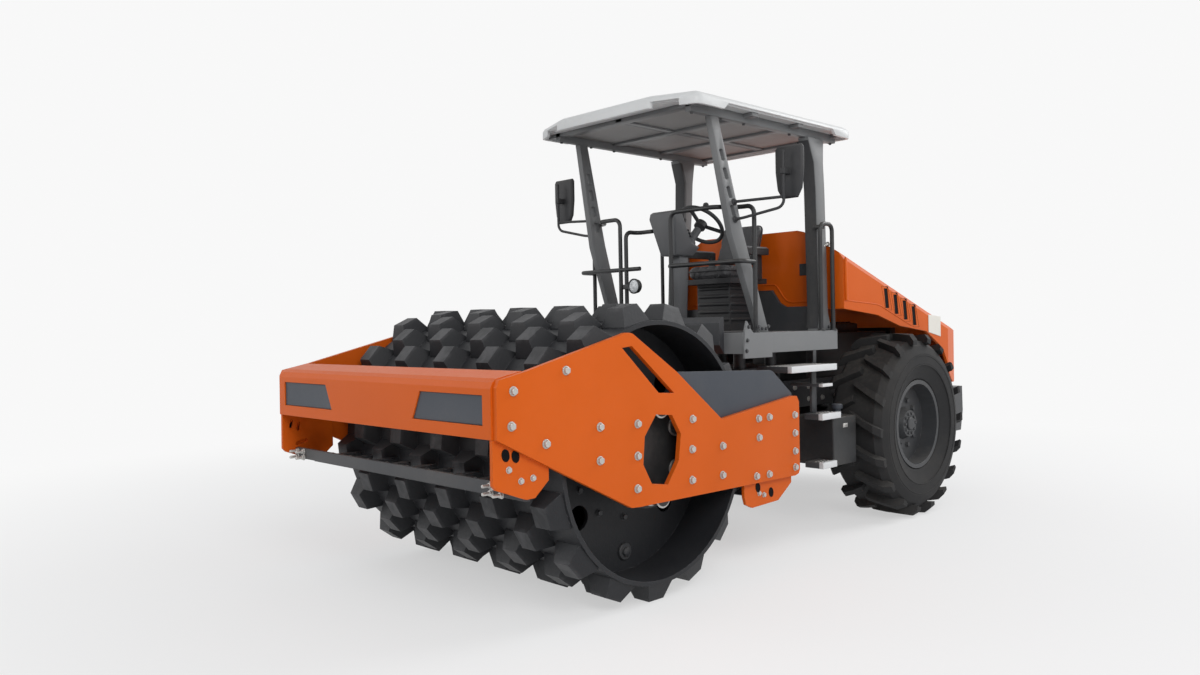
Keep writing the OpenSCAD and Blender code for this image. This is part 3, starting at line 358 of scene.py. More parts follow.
# Front beam and covers: the beam is a bent box with two shallow panels, which hold bare blue-grey plates.
# The covers that close the notches of the side plates have the same blue-grey paint.
def cut_plate(outline, at, depth):
    """A flat plate cut to an outline; at puts each pair of the outline in space, depth is its thickness as a vector."""
    bpy.ops.object.select_all(action="DESELECT")
    bpy.ops.mesh.primitive_circle_add(vertices=len(outline), radius=1, fill_type="NGON")
    plate = bpy.context.object
    for vertex, pair in zip(plate.data.vertices, outline):
        vertex.co = at(*pair)
    bpy.ops.object.mode_set(mode="EDIT")
    bpy.ops.mesh.select_all(action="SELECT")
    bpy.ops.mesh.extrude_region_move(TRANSFORM_OT_translate={"value": depth})
    bpy.ops.mesh.select_all(action="SELECT")
    bpy.ops.mesh.normals_make_consistent(inside=False)
    bpy.ops.object.mode_set(mode="OBJECT")
    return plate


def emboss(piece, test, inset, depth):
    """Insets the faces that pass the test and moves them along their normals, outwards or, below zero, inwards."""
    pick(piece, test)
    bpy.ops.mesh.inset(thickness=inset, depth=depth)
    bpy.ops.object.mode_set(mode="OBJECT")
    return piece


blue_grey = finish("blue grey paint", (0.047, 0.055, 0.070), 0.42, (0.25, 0.26, 0.28), wear=0.4, dust=0.25,
                   Specular_IOR_Level=0.3)
dress(blue_grey, "side_covers")
panel_x = 2.8815
panel_outline = ((0.4265, 1.0845), (1.0230, 1.0845), (1.0230, 1.2265), (0.4955, 1.2265))
for side, hand in ((1, "left"), (-1, "right")):
    plate = cut_plate(panel_outline, lambda y, z: (panel_x, side * y, z), (0.007, 0, 0))
    emboss(plate, lambda centre, normal: normal.x > 0.9, 0.010, -0.0015)
    settle(plate, "beam_panel_" + hand, blue_grey, "front_frame", edge=0.0015)

# Scrapers: the tines are bolted on their bars, and threaded adjusters with nuts set the front bar's distance.
dark_paint = finish("dark grey paint", (0.048, 0.050, 0.055), 0.42, (0.26, 0.26, 0.27), wear=0.55, dust=0.40,
                    Specular_IOR_Level=0.35)
dress(dark_paint, "scraper_front", "scraper_rear")


def gather(pieces):
    """Joins pieces into one."""
    bpy.ops.object.select_all(action="DESELECT")
    for piece in pieces:
        piece.select_set(True)
    bpy.context.view_layer.objects.active = pieces[0]
    if len(pieces) > 1:
        bpy.ops.object.join()
    return pieces[0]


drum_z = 0.835
to_front = Matrix.Rotation(math.pi / 2, 4, "Y")
to_back = Matrix.Rotation(-math.pi / 2, 4, "Y")
rows = [(i - 5) * 0.214 for i in range(1, 10)]
rear_bar = Matrix.Translation((drum_x, 0, drum_z)) @ Matrix.Rotation(math.radians(160), 4, "Y")
under = Matrix.Rotation(math.pi, 4, "X")
places = [Matrix.Translation((x, y, 0.760)) for y in rows for x in (2.668, 2.748)]
places += [rear_bar @ Matrix.Translation((x, y, -0.020)) @ under for y in rows for x in (0.985, 1.065)]
settle(set_out(hex_bolt(0.026), places), "tine_bolts", plated, "front_frame")
places = [Matrix.Translation((2.8055, y, z)) @ to_front for y in (-1.045, -0.965, 0.965, 1.045) for z in (0.748, 0.786)]
stud = turned([(0.009, 0), (0.009, 0.052), (0.007, 0.056)], 16)
nut = hex_bolt(0.030)
settle(set_out(gather([nut, stud]), places), "scraper_adjusters", plated, "front_frame")

# Drum: rolled shell with welded pads, sprayed dark grey. Soil keeps the pads' faces rubbed and a little lighter.
# The head plates carry a ring of bolts and a filler plug.
drum_paint, tree = new_material("drum paint")
place = shader(tree, "TexCoord").outputs["Object"]
centred = shader(tree, "Mapping", {"Vector": place, "Location": (-drum_x, 0, -drum_z), "Scale": (1, 0, 1)})
reach = shader(tree, "VectorMath", {0: centred.outputs[0]}, operation="LENGTH").outputs["Value"]
face = shader(tree, "MapRange", {"Value": reach, "From Min": 0.815, "From Max": 0.833}).outputs["Result"]
scuff = shader(tree, "TexNoise", {"Vector": place, "Scale": 9.0, "Detail": 5.0, "Distortion": 0.6}).outputs["Fac"]
scuff = shader(tree, "MapRange", {"Value": scuff, "From Min": 0.40, "From Max": 0.68}).outputs["Result"]
rubbed = shader(tree, "Math", {0: face, 1: scuff}, operation="MULTIPLY").outputs[0]
look = shader(tree, "Group", node_tree=weather)
for socket, value in (("Colour", (0.020, 0.021, 0.024, 1)), ("Edge Colour", (0.15, 0.15, 0.155, 1)),
                      ("Dust Colour", (0.12, 0.115, 0.105, 1)), ("Roughness", 0.50), ("Edge Wear", 0.75), ("Dust", 0.16),
                      ("Mottle", 0.5), ("Grain", 0.0008), ("Grain Size", 85.0)):
    look.inputs[socket].default_value = value
worn = shader(tree, "Mix", {0: rubbed, 6: look.outputs["Colour"], 7: (0.062, 0.062, 0.066, 1)}, data_type="RGBA")
coat = shader(tree, "BsdfPrincipled", {"Base Color": worn.outputs[2], "Roughness": look.outputs["Roughness"],
                                       "Normal": look.outputs["Normal"], "Specular IOR Level": 0.3})
shader(tree, "OutputMaterial", {"Surface": coat.outputs[0]})
dress(drum_paint, "drum_shell")
head_face = 0.7725
for side, hand in ((1, "left"), (-1, "right")):
    middle = Matrix.Translation((drum_x, side * head_face, drum_z)) @ outward[side]
    ring = [middle @ Matrix.Rotation(math.radians(30 * i), 4, "Z") @ Matrix.Translation((0.40, 0, 0)) for i in range(12)]
    bolts = set_out(hex_bolt(0.034), ring)
    plug = turned([(0.050, 0), (0.050, 0.010), (0.046, 0.014), (0.028, 0.014), (0.026, 0.026), (0.020, 0.030)])
    plug = set_out(plug, [middle @ Matrix.Translation((0, 0.60, 0))])
    settle(gather([bolts, plug]), "drum_head_fittings_" + hand, dark_paint, "drum")

# Drum mounts: a bearing housing, a bolted flange, and rubber buffers between two steel washers each.
black_paint = finish("black paint", (0.018, 0.019, 0.021), 0.38, (0.20, 0.20, 0.21), wear=0.5, dust=0.40,
                     Specular_IOR_Level=0.35)
dress(black_paint, "drum_mount_left", "drum_mount_right", "rear_axle", "engine_block", "barrel_left", "barrel_right")
for side, hand in ((1, "left"), (-1, "right")):
    middle = Matrix.Translation((drum_x, side * 0.990, drum_z)) @ outward[side]
    turns = [middle @ Matrix.Rotation(math.radians(60 * i), 4, "Z") for i in range(6)]
    bolts = set_out(hex_bolt(0.036), [turn @ Matrix.Translation((0.275, 0, 0)) for turn in turns])
    washer = turned([(0.060, 0), (0.060, 0.007), (0.056, 0.009), (0.0505, 0.009)])
    half_turn = Matrix.Rotation(math.radians(30), 4, "Z")
    washers = [turn @ half_turn @ Matrix.Translation((0.25, 0, z)) for turn in turns for z in (0.001, 0.089)]
    settle(gather([bolts, set_out(washer, washers)]), "mount_fittings_" + hand, plated, "front_frame")

# Centre joint and steering cylinders: a bolted cap on each end of the vertical pin, a retainer on each
# cylinder pin, and two screwed hose fittings with plugs on each barrel. The rods are ground and chromed.
dress(dark_paint, "yoke", "rear_chassis")
chrome = finish("hard chrome", (0.72, 0.73, 0.75), 0.12, (0.8, 0.8, 0.8), wear=0.1, dust=0.08, grain=0.00005, Metallic=1.0)
dress(chrome, "rod_left", "rod_right")
cap = turned([(0.085, 0), (0.085, 0.010), (0.080, 0.014), (0.030, 0.014), (0.026, 0.020)])
small = [Matrix.Rotation(math.radians(60 * i), 4, "Z") @ Matrix.Translation((0.058, 0, 0.013)) for i in range(6)]
cap = gather([cap, set_out(hex_bolt(0.020), small)])
cap = set_out(cap, [Matrix.Translation((0.155, 0, 1.022)), Matrix.Translation((0.155, 0, 0.638)) @ under])
settle(cap, "joint_caps", dark_paint, "rear_frame", edge=0.001)
pins = ((-0.445, 0.26, "rear_frame", "cylinder_pins_rear"), (0.275, 0.20, "yoke", "cylinder_pins_front"))
for x, y, body, name in pins:
    cap = turned([(0.034, 0), (0.034, 0.007), (0.030, 0.010), (0.012, 0.010), (0.010, 0.016)])
    places = []
    for side in (1, -1):
        places += [Matrix.Translation((x, side * y, 0.881)), Matrix.Translation((x, side * y, 0.779)) @ under]
    settle(set_out(cap, places), name, plated, body)
cylinder_turn = math.atan2(-0.06, 0.72)
for side, hand in ((1, "left"), (-1, "right")):
    eye = Matrix.Translation((-0.445, side * 0.26, 0.830)) @ Matrix.Rotation(side * cylinder_turn, 4, "Z")
    fitting = turned([(0.014, 0.030), (0.014, 0.048), (0.010, 0.050), (0.010, 0.056), (0.013, 0.057), (0.013, 0.068)], 12)
    settle(set_out(fitting, [eye @ Matrix.Translation((x, 0, 0)) for x in (0.125, 0.365)]),
           "barrel_fittings_" + hand, plated, "steer_cylinder_" + hand)

# Rear frame: welded rails, bolted where the axle and the engine's feet sit on them.
for side, hand in ((1, "left"), (-1, "right")):
    places = [Matrix.Translation((-2.35 + 0.2 * i, side * 0.300, z)) @ outward[side] for i in range(9) for z in (0.92, 1.02)]
    settle(set_out(hex_bolt(0.034), places), "rail_bolts_" + hand, plated, "rear_frame")


# Engine, under the hood: a ribbed rocker cover, an air cleaner with its pipe and a fan cowl on the plain block.
def block(low, high):
    """A box between two corners."""
    low, high = Vector(low), Vector(high)
    bpy.ops.object.select_all(action="DESELECT")
    bpy.ops.mesh.primitive_cube_add(size=1, location=(low + high) / 2, scale=high - low)
    bpy.ops.object.transform_apply(location=True, rotation=True, scale=True)
    return bpy.context.object


def tube(points, radius, bend=0.0, closed=False):
    """A bent tube: a curve through the points, its corners rounded over the length bend, made a mesh."""
    bpy.ops.object.select_all(action="DESELECT")
    bpy.ops.curve.primitive_bezier_curve_add()
    piece = bpy.context.object
    spots = [Vector(p) for p in points]
    knots = []
    for i, spot in enumerate(spots):
        if bend and (closed or 0 < i < len(spots) - 1):
            enter = spot + (spots[i - 1] - spot).normalized() * bend
            leave = spot + (spots[(i + 1) % len(spots)] - spot).normalized() * bend
            knots.append((enter, enter, enter.lerp(spot, 0.55)))
            knots.append((leave, leave.lerp(spot, 0.55), leave))
        else:
            knots.append((spot, spot, spot))
    line = piece.data
    line.dimensions = "3D"
    spline = line.splines[0]
    spline.bezier_points.add(len(knots) - 2)
    for knot, (spot, before, after) in zip(spline.bezier_points, knots):
        knot.handle_left_type = knot.handle_right_type = "FREE"
        knot.co, knot.handle_left, knot.handle_right = spot, before, after
    spline.use_cyclic_u = closed
    line.resolution_u = 5
    line.bevel_depth = radius
    line.bevel_resolution = 4
    line.use_fill_caps = not closed
    bpy.ops.object.convert(target="MESH")
    return bpy.context.object


cast_iron = finish("engine paint", (0.075, 0.078, 0.080), 0.55, (0.22, 0.22, 0.22), wear=0.6, dust=0.5, grain=0.0006,
                   size=160.0)
cover = block((-2.05, -0.11, 1.450), (-1.25, 0.11, 1.520))
emboss(cover, lambda centre, normal: normal.z > 0.9, 0.018, 0.010)
ribs = set_out(emboss(block((-0.010, -0.085, 0), (0.010, 0.085, 0.010)), lambda c, n: n.z > 0.9, 0.003, 0.003),
               [Matrix.Translation((-1.97 + 0.08 * i, 0, 1.529)) for i in range(9)])
filler = set_out(turned([(0.032, 0), (0.032, 0.020), (0.024, 0.022), (0.024, 0.034)]), [Matrix.Translation((-1.30, 0, 1.529))])
settle(gather([cover, ribs, filler]), "rocker_cover", cast_iron, "rear_frame", edge=0.003)
cleaner = turned([(0.085, 0), (0.090, 0.015), (0.090, 0.060), (0.096, 0.064), (0.096, 0.080), (0.090, 0.084), (0.090, 0.33),
                  (0.060, 0.36), (0.045, 0.365)])
cleaner = set_out(cleaner, [Matrix.Translation((-1.62, -0.27, 1.545)) @ to_front])
pipe = tube([(-1.25, -0.27, 1.545), (-1.10, -0.27, 1.545), (-1.10, -0.05, 1.545), (-1.10, -0.05, 1.44)], 0.045, bend=0.07)
settle(gather([cleaner, pipe]), "air_cleaner", black_paint, "rear_frame")
cowl = block((-2.40, -0.30, 1.04), (-2.30, 0.30, 1.48))
emboss(cowl, lambda centre, normal: abs(normal.x) > 0.9, 0.030, -0.020)
settle(cowl, "fan_cowl", black_paint, "rear_frame", edge=0.006)

# Counterweight: cast iron, with a rear lamp on each side of the towing pocket: a black housing with a red tail lens and
# an amber turn lens. Bolts sit on its back.
dress(dark_paint, "rear_counterweight", "platform_cowl", "rear_bulkhead")
signal_red = finish("signal red lens", (0.42, 0.008, 0.006), 0.16, (0.5, 0.05, 0.04), wear=0.1, dust=0.2, size=900.0,
                    Coat_Weight=0.5, Coat_Roughness=0.08)
amber = finish("amber lens", (0.62, 0.19, 0.008), 0.16, (0.6, 0.3, 0.1), wear=0.1, dust=0.2, size=900.0, Coat_Weight=0.5,
               Coat_Roughness=0.08)
lamp_back = -2.889
lens = ((0.034, 0), (0.034, 0.006), (0.030, 0.009), (0.016, 0.010), (0.012, 0.008))
for side, hand in ((1, "left"), (-1, "right")):
    housing = block((lamp_back, side * 0.56 - 0.100, 0.775), (lamp_back + 0.012, side * 0.56 + 0.100, 0.865))
    emboss(housing, lambda centre, normal: normal.x < -0.9, 0.008, -0.003)
    settle(housing, "rear_lamp_housing_" + hand, black_paint, "rear_frame", edge=0.003)
    for shift, colour, name in ((0.046, signal_red, "tail_lens_"), (-0.046, amber, "turn_lens_")):
        spot = Matrix.Translation((lamp_back + 0.003, side * (0.56 + shift), 0.820)) @ to_back
        settle(set_out(turned(lens), [spot]), name + hand, colour, "rear_frame")
places = [Matrix.Translation((-2.884, side * y, 0.60)) @ to_back for side in (1, -1) for y in (0.25, 0.45)]
settle(set_out(hex_bolt(0.044), places), "weight_bolts", plated, "rear_frame")

# Wheels: pressed rims with ten nuts, a valve and a bolted hub end, and tyres with a bead ring and two fine
# rings moulded on the sidewall. The rubber is dull, paler on its edges, with dust in the tread.
rim_paint = finish("rim paint", (0.052, 0.054, 0.058), 0.45, (0.20, 0.20, 0.21), wear=0.5, dust=0.35, Specular_IOR_Level=0.35)
dress(rim_paint, "rim_left", "rim_right")
rubber = finish("tyre rubber", (0.019, 0.019, 0.020), 0.78, (0.048, 0.047, 0.046), wear=0.5, dust=0.22, grain=0.0006,
                size=120.0, Specular_IOR_Level=0.3)
dress(rubber, "tyre_left", "tyre_right")
for side, hand in ((1, "left"), (-1, "right")):
    axle = Matrix.Translation((-1.395, 0, 0.720)) @ outward[side]
    turns = [axle @ Matrix.Rotation(math.radians(36 * i), 4, "Z") for i in range(10)]
    nuts = set_out(hex_bolt(0.040), [turn @ Matrix.Translation((0.185, 0, 0.890)) for turn in turns])
    ends = set_out(hex_bolt(0.024), [turn @ Matrix.Translation((0.080, 0, 0.949)) for turn in turns])
    cap = set_out(turned([(0.052, 0.949), (0.052, 0.960), (0.046, 0.966), (0.018, 0.968)]), [axle])
    valve = set_out(tube([(0.270, 0, 0.892), (0.270, 0, 0.925), (0.255, 0, 0.960)], 0.006, bend=0.012), [axle])
    settle(gather([nuts, ends, cap, valve]), "wheel_nuts_" + hand, rim_paint, "wheel_" + hand)
    rings = []
    for radius, stand, wide in ((0.372, 1.002, 0.010), (0.470, 1.0665, 0.005), (0.545, 1.0665, 0.004)):
        bpy.ops.object.select_all(action="DESELECT")
        bpy.ops.mesh.primitive_torus_add(major_radius=radius, minor_radius=wide, major_segments=96, minor_segments=10)
        ring = bpy.context.object
        rings.append(set_out(ring, [axle @ Matrix.Translation((0, 0, stand)) @ Matrix.Diagonal((1, 1, 0.7, 1))]))
    settle(gather(rings), "sidewall_rings_" + hand, rubber, "wheel_" + hand)

# Hood: orange moulded shell. Its slots are filled with near-black sheets as painted shade, a folded lip runs up each
# front corner with its slit drawn as a near-black strip of painted shade, a raised bead follows the front wall's cut
# corners and the lower edges, and two bare white plates sit behind the slots. A pull handle and the latches are on the
# front, the grille and a bar handle behind, and a ribbed near-black sheet behind the grille is painted shade for the
# dark inside.
dress(orange_paint, "hood_shell")
plastic = finish("black plastic", (0.030, 0.031, 0.034), 0.52, (0.09, 0.09, 0.10), wear=0.4, grain=0.0005, size=420.0,
                 Specular_IOR_Level=0.35)
dress(plastic, "hood_grille")
white_plate = finish("white enamel", (0.80, 0.77, 0.70), 0.30, (0.55, 0.52, 0.48), wear=0.2, dust=0.15, Coat_Weight=0.2)
for side, hand in ((1, "left"), (-1, "right")):
    # The slots are filled with near-black sheets: painted shade, where the slots lie in shade.
    slot_shades = []
    for i in range(4):
        x, z = -1.235 - 0.15 * i, 1.722 - 0.047 * i
        slot_shade = cut_plate(((-0.082, -0.094), (0.018, -0.094), (0.080, 0.094), (-0.020, 0.094)),
                         lambda u, w: (x + u, side * 0.826, z + w), (0, side * 0.0255, 0))
        emboss(slot_shade, lambda centre, normal: side * normal.y > 0.9, 0.005, -0.005)
        slot_shades.append(slot_shade)
    settle(gather(slot_shades), "slot_shade_fill_" + hand, shadow_black, "hood")
    plate = cut_plate(((-2.150, 1.400), (-1.930, 1.440), (-1.930, 1.590), (-2.150, 1.572)),
                      lambda x, z: (x, side * 0.8502, z), (0, side * 0.004, 0))
    emboss(plate, lambda centre, normal: side * normal.y > 0.9, 0.010, -0.001)
    settle(plate, "side_marker_" + hand, white_plate, "hood", edge=0.0015)
    lip = cut_plate(((-0.640, 1.700), (-0.612, 1.700), (-0.606, 2.000), (-0.616, 2.030), (-0.632, 2.000)),
                    lambda x, z: (x, side * 0.8495, z), (0, side * 0.016, 0))
    settle(lip, "corner_lip_" + hand, orange_paint, "hood", edge=0.006)
    # The slit is a thin near-black strip: painted shade in the gap between the lip and the hood's side.
    slit = cut_plate(((-0.656, 1.720), (-0.641, 1.712), (-0.633, 2.004), (-0.640, 2.010)),
                     lambda x, z: (x, side * 0.8495, z), (0, side * 0.0025, 0))
    settle(slit, "corner_slit_shade_" + hand, plastic, "hood")
    edge_line = tube([(x, side * 0.8495, z) for x, z in ((-0.655, 1.700), (-1.110, 1.672), (-1.390, 1.580), (-1.640, 1.500))],
                     0.0045, bend=0.06)
    bead = tube([(-0.5985, side * y, z) for y, z in ((0.12, 1.845), (0.245, 1.845), (0.330, 1.722), (0.380, 1.700),
                                                     (0.60, 1.700))], 0.006, bend=0.03)
    settle(gather([edge_line, bead]), "hood_beads_" + hand, orange_paint, "hood")
pull = tube([(-0.596, 0.66, 2.060), (-0.560, 0.66, 2.070), (-0.560, 0.72, 2.120), (-0.596, 0.72, 2.130)], 0.009, bend=0.02)
feet = set_out(turned([(0.018, 0), (0.018, 0.004), (0.013, 0.006)]),
               [Matrix.Translation((-0.600, 0.66, 2.060)) @ to_front, Matrix.Translation((-0.600, 0.72, 2.130)) @ to_front])
settle(gather([pull, feet]), "hood_pull", plated, "hood")
latch = emboss(block((0, -0.030, -0.045), (0.010, 0.030, 0.045)), lambda centre, normal: normal.x > 0.9, 0.010, -0.004)
latch = set_out(latch, [Matrix.Translation((-0.600, y, 1.95)) for y in (-0.50, 0.50)])
settle(latch, "hood_latches", plastic, "hood", edge=0.002)
bar = tube([(-2.860, -0.16, 1.40), (-2.900, -0.16, 1.40), (-2.900, 0.16, 1.40), (-2.860, 0.16, 1.40)], 0.010, bend=0.028)
settle(bar, "hood_bar", plastic, "hood")
# A ribbed near-black sheet behind the grille: painted shade for the dark space inside the hood.
screen = block((-2.868, -0.400, 1.062), (-2.860, 0.400, 1.322))
emboss(screen, lambda centre, normal: abs(normal.x) > 0.9, 0.012, -0.002)
ribs = set_out(emboss(block((-2.872, -0.004, 1.070), (-2.868, 0.004, 1.314)), lambda c, n: n.x < -0.9, 0.001, 0.001),
               [Matrix.Translation((0, -0.36 + 0.04 * i, 0)) for i in range(19)])
settle(gather([screen, ribs]), "grille_shade_sheet", shadow_black, "hood")

# Cab floor: powder-coated platform with a ribbed rubber mat and a brake pedal, bolted on its gussets.
platform_grey = finish("platform grey", (0.205, 0.210, 0.215), 0.50, (0.32, 0.32, 0.32), wear=0.4, dust=0.40,
                       Specular_IOR_Level=0.3)
dress(platform_grey, "platform_floor")
mat = block((-0.100, -0.56, 1.4795), (0.540, 0.56, 1.486))
ribs = set_out(emboss(block((-0.300, -0.006, 0), (0.300, 0.006, 0.003)), lambda c, n: n.z > 0.9, 0.002, 0.002),
               [Matrix.Translation((0.22, -0.525 + 0.030 * i, 1.4855)) for i in range(36)])
settle(gather([mat, ribs]), "floor_mat", plastic, "rear_frame")
pedal = emboss(block((-0.045, -0.035, -0.006), (0.045, 0.035, 0.006)), lambda c, n: n.z > 0.9, 0.008, 0.003)
pedal = set_out(pedal, [Matrix.Translation((0.44, -0.16, 1.575)) @ Matrix.Rotation(math.radians(-50), 4, "Y")])
stalk = tube([(0.445, -0.16, 1.570), (0.50, -0.16, 1.545), (0.53, -0.16, 1.484)], 0.009, bend=0.03)
settle(gather([pedal, stalk]), "brake_pedal", plastic, "rear_frame")
for side, hand in ((1, "left"), (-1, "right")):
    places = [Matrix.Translation((x, side * 0.812, z)) @ outward[side]
              for x, z in ((0.31, 1.52), (0.42, 1.52), (0.53, 1.52), (0.545, 1.43), (0.555, 1.36))]
    settle(set_out(hex_bolt(0.022), places), "gusset_bolts_" + hand, dark_paint, "rear_frame")

# Canopy: painted post plates that lean inwards a little, bolted at their feet, with four slots in the front pair. A
# near-black strip down the front of the rear pair is painted shade, where their front faces lie in shade. The roof is a
# white moulding with a deeper visor in front, on a frame of rolled sections, and pale panels line it between the beams.
post_grey = finish("post grey", (0.165, 0.169, 0.173), 0.45, (0.30, 0.30, 0.30), wear=0.4, dust=0.30,
                   Specular_IOR_Level=0.3)
roof_white = finish("roof white", (0.66, 0.67, 0.67), 0.38, (0.72, 0.72, 0.71), wear=0.2, dust=0.20, grain=0.00015,
                    Specular_IOR_Level=0.3)


def post_y(z):
    """Middle of a leaning post at a height."""
    return 0.70 - 0.0457 * (z - 1.48)


def pierce(piece, cutter):
    """Cuts a piece with another and takes the cutter away."""
    cut = piece.modifiers.new("cut", "BOOLEAN")
    cut.operation = "DIFFERENCE"
    cut.object = cutter
    bpy.ops.object.select_all(action="DESELECT")
    piece.select_set(True)
    bpy.context.view_layer.objects.active = piece
    bpy.ops.object.modifier_apply(modifier=cut.name)
    bpy.data.objects.remove(cutter)
    return piece


front_outline = ((0.278, 1.480), (0.541, 2.148), (0.702, 2.925), (0.622, 2.925), (0.415, 2.171), (0.180, 1.480))
rear_outline = ((-0.405, 1.480), (-0.423, 1.530), (-0.440, 1.610), (-0.484, 2.540), (-0.480, 2.740), (-0.415, 2.925),
                (-0.625, 2.925), (-0.605, 2.740), (-0.604, 2.540), (-0.560, 1.610), (-0.583, 1.530), (-0.583, 1.480))
for side, hand in ((1, "left"), (-1, "right")):
    post = cut_plate(front_outline, lambda x, z: (x, side * (post_y(z) - 0.025), z), (0, side * 0.050, 0))
    for i in range(4):
        slot = cut_plate(((-0.030, -0.030), (-0.014, -0.040), (0.008, -0.036), (0.030, 0.030), (0.014, 0.040),
                          (-0.008, 0.036)),
                         lambda u, w: (0.513 + 0.029 * i + u, side * 0.58, 2.304 + 0.123 * i + w), (0, side * 0.20, 0))
        pierce(post, slot)
    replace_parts(settle(post, "post_front_" + hand, post_grey, "rear_frame", edge=0.004),
                "front_post_" + hand)
    post = cut_plate(rear_outline, lambda x, z: (x, side * (post_y(z) - 0.045), z), (0, side * 0.090, 0))
    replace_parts(settle(post, "post_rear_" + hand, post_grey, "rear_frame", edge=0.005),
                "rear_post_" + hand)
roof_outline = [(-0.882, -0.706), (-0.874, -0.742), (-0.852, -0.760), (-0.822, -0.766), (0.900, -0.766), (0.940, -0.758),
                (0.960, -0.738), (1.080, -0.430), (1.080, 0.430), (0.960, 0.738), (0.940, 0.758), (0.900, 0.766),
                (-0.822, 0.766), (-0.852, 0.760), (-0.874, 0.742), (-0.882, 0.706)]
roof = cut_plate(roof_outline, lambda x, y: (x, y, 2.950), (0, 0, 0.050))
emboss(roof, lambda centre, normal: normal.z > 0.9, 0.014, 0.022)
emboss(roof, lambda centre, normal: normal.z > 0.99, 0.034, 0.018)
emboss(roof, lambda centre, normal: normal.z < -0.9, 0.022, 0.0)
emboss(roof, lambda centre, normal: normal.z < -0.9 and abs(centre.x) < 0.5 and abs(centre.y) < 0.3, 0.004, -0.035)
for side in (1, -1):
    low_edge = cut_plate(((0.70, 2.940), (0.64, 2.993), (-0.62, 2.993), (-0.672, 2.940)),
                         lambda x, z: (x, side * 0.738, z), (0, side * 0.040, 0))
    pierce(roof, low_edge)
    slanted = cut_plate(((0.935, 0.640), (1.080, 0.640), (1.140, 0.455), (1.035, 0.455)),
                        lambda x, y: (x, side * y, 2.940), (0, 0, 0.052))
    pierce(roof, slanted)
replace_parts(settle(roof, "roof_moulding", roof_white, "rear_frame", edge=0.004), "canopy_roof")
beams = []
for side in (1, -1):
    beams.append(block((-0.822, side * 0.634 - 0.025, 2.925), (0.900, side * 0.634 + 0.025, 2.985)))
beams += [block((x, -0.738, 2.956), (x + 0.070, 0.738, 2.985)) for x in (-0.822, -0.271, 0.279, 0.830)]
beams.append(block((-0.822, -0.030, 2.960), (0.900, 0.030, 2.984)))
for beam in beams:
    emboss(beam, lambda centre, normal: normal.z < -0.9, 0.006, -0.003)
frame_piece = settle(gather(beams), "roof_frame", post_grey, "rear_frame", edge=0.002)
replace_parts(frame_piece, "canopy_frame")
for side, hand in ((1, "left"), (-1, "right")):
    # The rear posts' front faces get a near-black strip: painted shade where the front face lies in shade.
    run = ((-0.4035, 1.500), (-0.4215, 1.535), (-0.4385, 1.615), (-0.4825, 2.540), (-0.4785, 2.740), (-0.4200, 2.900))
    strip = cut_plate([(x, z) for x, z in run] + [(x - 0.030, z) for x, z in reversed(run)],
                      lambda x, z: (x + 0.002, side * (post_y(z) - 0.058), z), (0, side * 0.098, 0))
    settle(strip, "post_front_shade_" + hand, plastic, "rear_frame", edge=0.001)
    places = [Matrix.Translation((x, side * (post_y(1.50) + half), 1.505)) @ outward[side]
              for x, half in ((0.215, 0.0255), (0.260, 0.0255), (-0.555, 0.0455), (-0.440, 0.0455))]
    settle(set_out(hex_bolt(0.020), places), "post_bolts_" + hand, dark_paint, "rear_frame")
bays = ((-0.750, -0.273), (-0.199, 0.277), (0.351, 0.828))
panels = []
for low, high in bays:
    for y_low, y_high in ((-0.605, -0.034), (0.034, 0.605)):
        panel = block((low + 0.004, y_low, 2.972), (high - 0.004, y_high, 2.984))
        panels.append(emboss(panel, lambda centre, normal: normal.z < -0.9, 0.030, -0.004))
lining = finish("roof lining", (0.31, 0.31, 0.305), 0.60, (0.40, 0.40, 0.40), wear=0.2, dust=0.2, grain=0.0004, size=300.0,
                Specular_IOR_Level=0.3)
settle(gather(panels), "roof_lining", lining, "rear_frame", edge=0.003)
places = [Matrix.Translation((x, side * 0.634, 2.925)) @ under for side in (1, -1) for x in (-0.79, -0.24, 0.31, 0.56, 0.865)]
settle(set_out(hex_bolt(0.022), places), "roof_bolts", dark_paint, "rear_frame")

# Handrails: bent round tube, powder coated, on welded feet. A clamp holds each rear rail to its post.
rail_paint = finish("rail coating", (0.024, 0.025, 0.027), 0.36, (0.14, 0.14, 0.14), wear=0.4, dust=0.25,
                    Specular_IOR_Level=0.35)
tube_r = 0.0158
for side, hand, inner in ((1, "left", 0.160), (-1, "right", 0.342)):
    runs = [tube([(0.555, side * inner, 1.481), (0.555, side * inner, 2.340), (0.555, side * 0.560, 2.340),
                  (0.405, side * 0.640, 2.340), (0.405, side * 0.780, 2.340), (0.405, side * 0.780, 1.481)], tube_r, bend=0.055),
            tube([(0.555, side * 0.145, 1.960), (0.555, side * 0.780, 1.960), (0.405, side * 0.780, 1.960)], tube_r, bend=0.045),
            tube([(-0.400, side * 0.780, 1.481), (-0.400, side * 0.780, 2.270), (-0.560, side * 0.780, 2.270),
                  (-0.560, side * 0.780, 1.481)], tube_r, bend=0.050)]
    if side < 0:
        runs.append(tube([(0.555, -0.283, 1.481), (0.555, -0.283, 2.240), (0.425, -0.283, 2.240), (0.425, -0.131, 2.240)],
                         tube_r, bend=0.050))
    foot = turned([(0.030, 0), (0.030, 0.004), (0.0255, 0.006), (0.0245, 0.012)], 20)
    spots = [(0.555, side * inner), (0.405, side * 0.780), (-0.400, side * 0.780), (-0.560, side * 0.780)]
    runs.append(set_out(foot, [Matrix.Translation((x, y, 1.4802)) for x, y in spots]))
    rails = settle(gather(runs), "handrails_" + hand, rail_paint, "rear_frame")
    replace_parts(rails, "handrails")
    clamp = block((-0.470, side * 0.700, 2.235), (-0.430, side * 0.775, 2.262))
    emboss(clamp, lambda centre, normal: abs(normal.z) > 0.9, 0.004, 0.002)
    settle(clamp, "rail_clamp_" + hand, rail_paint, "rear_frame", edge=0.002)

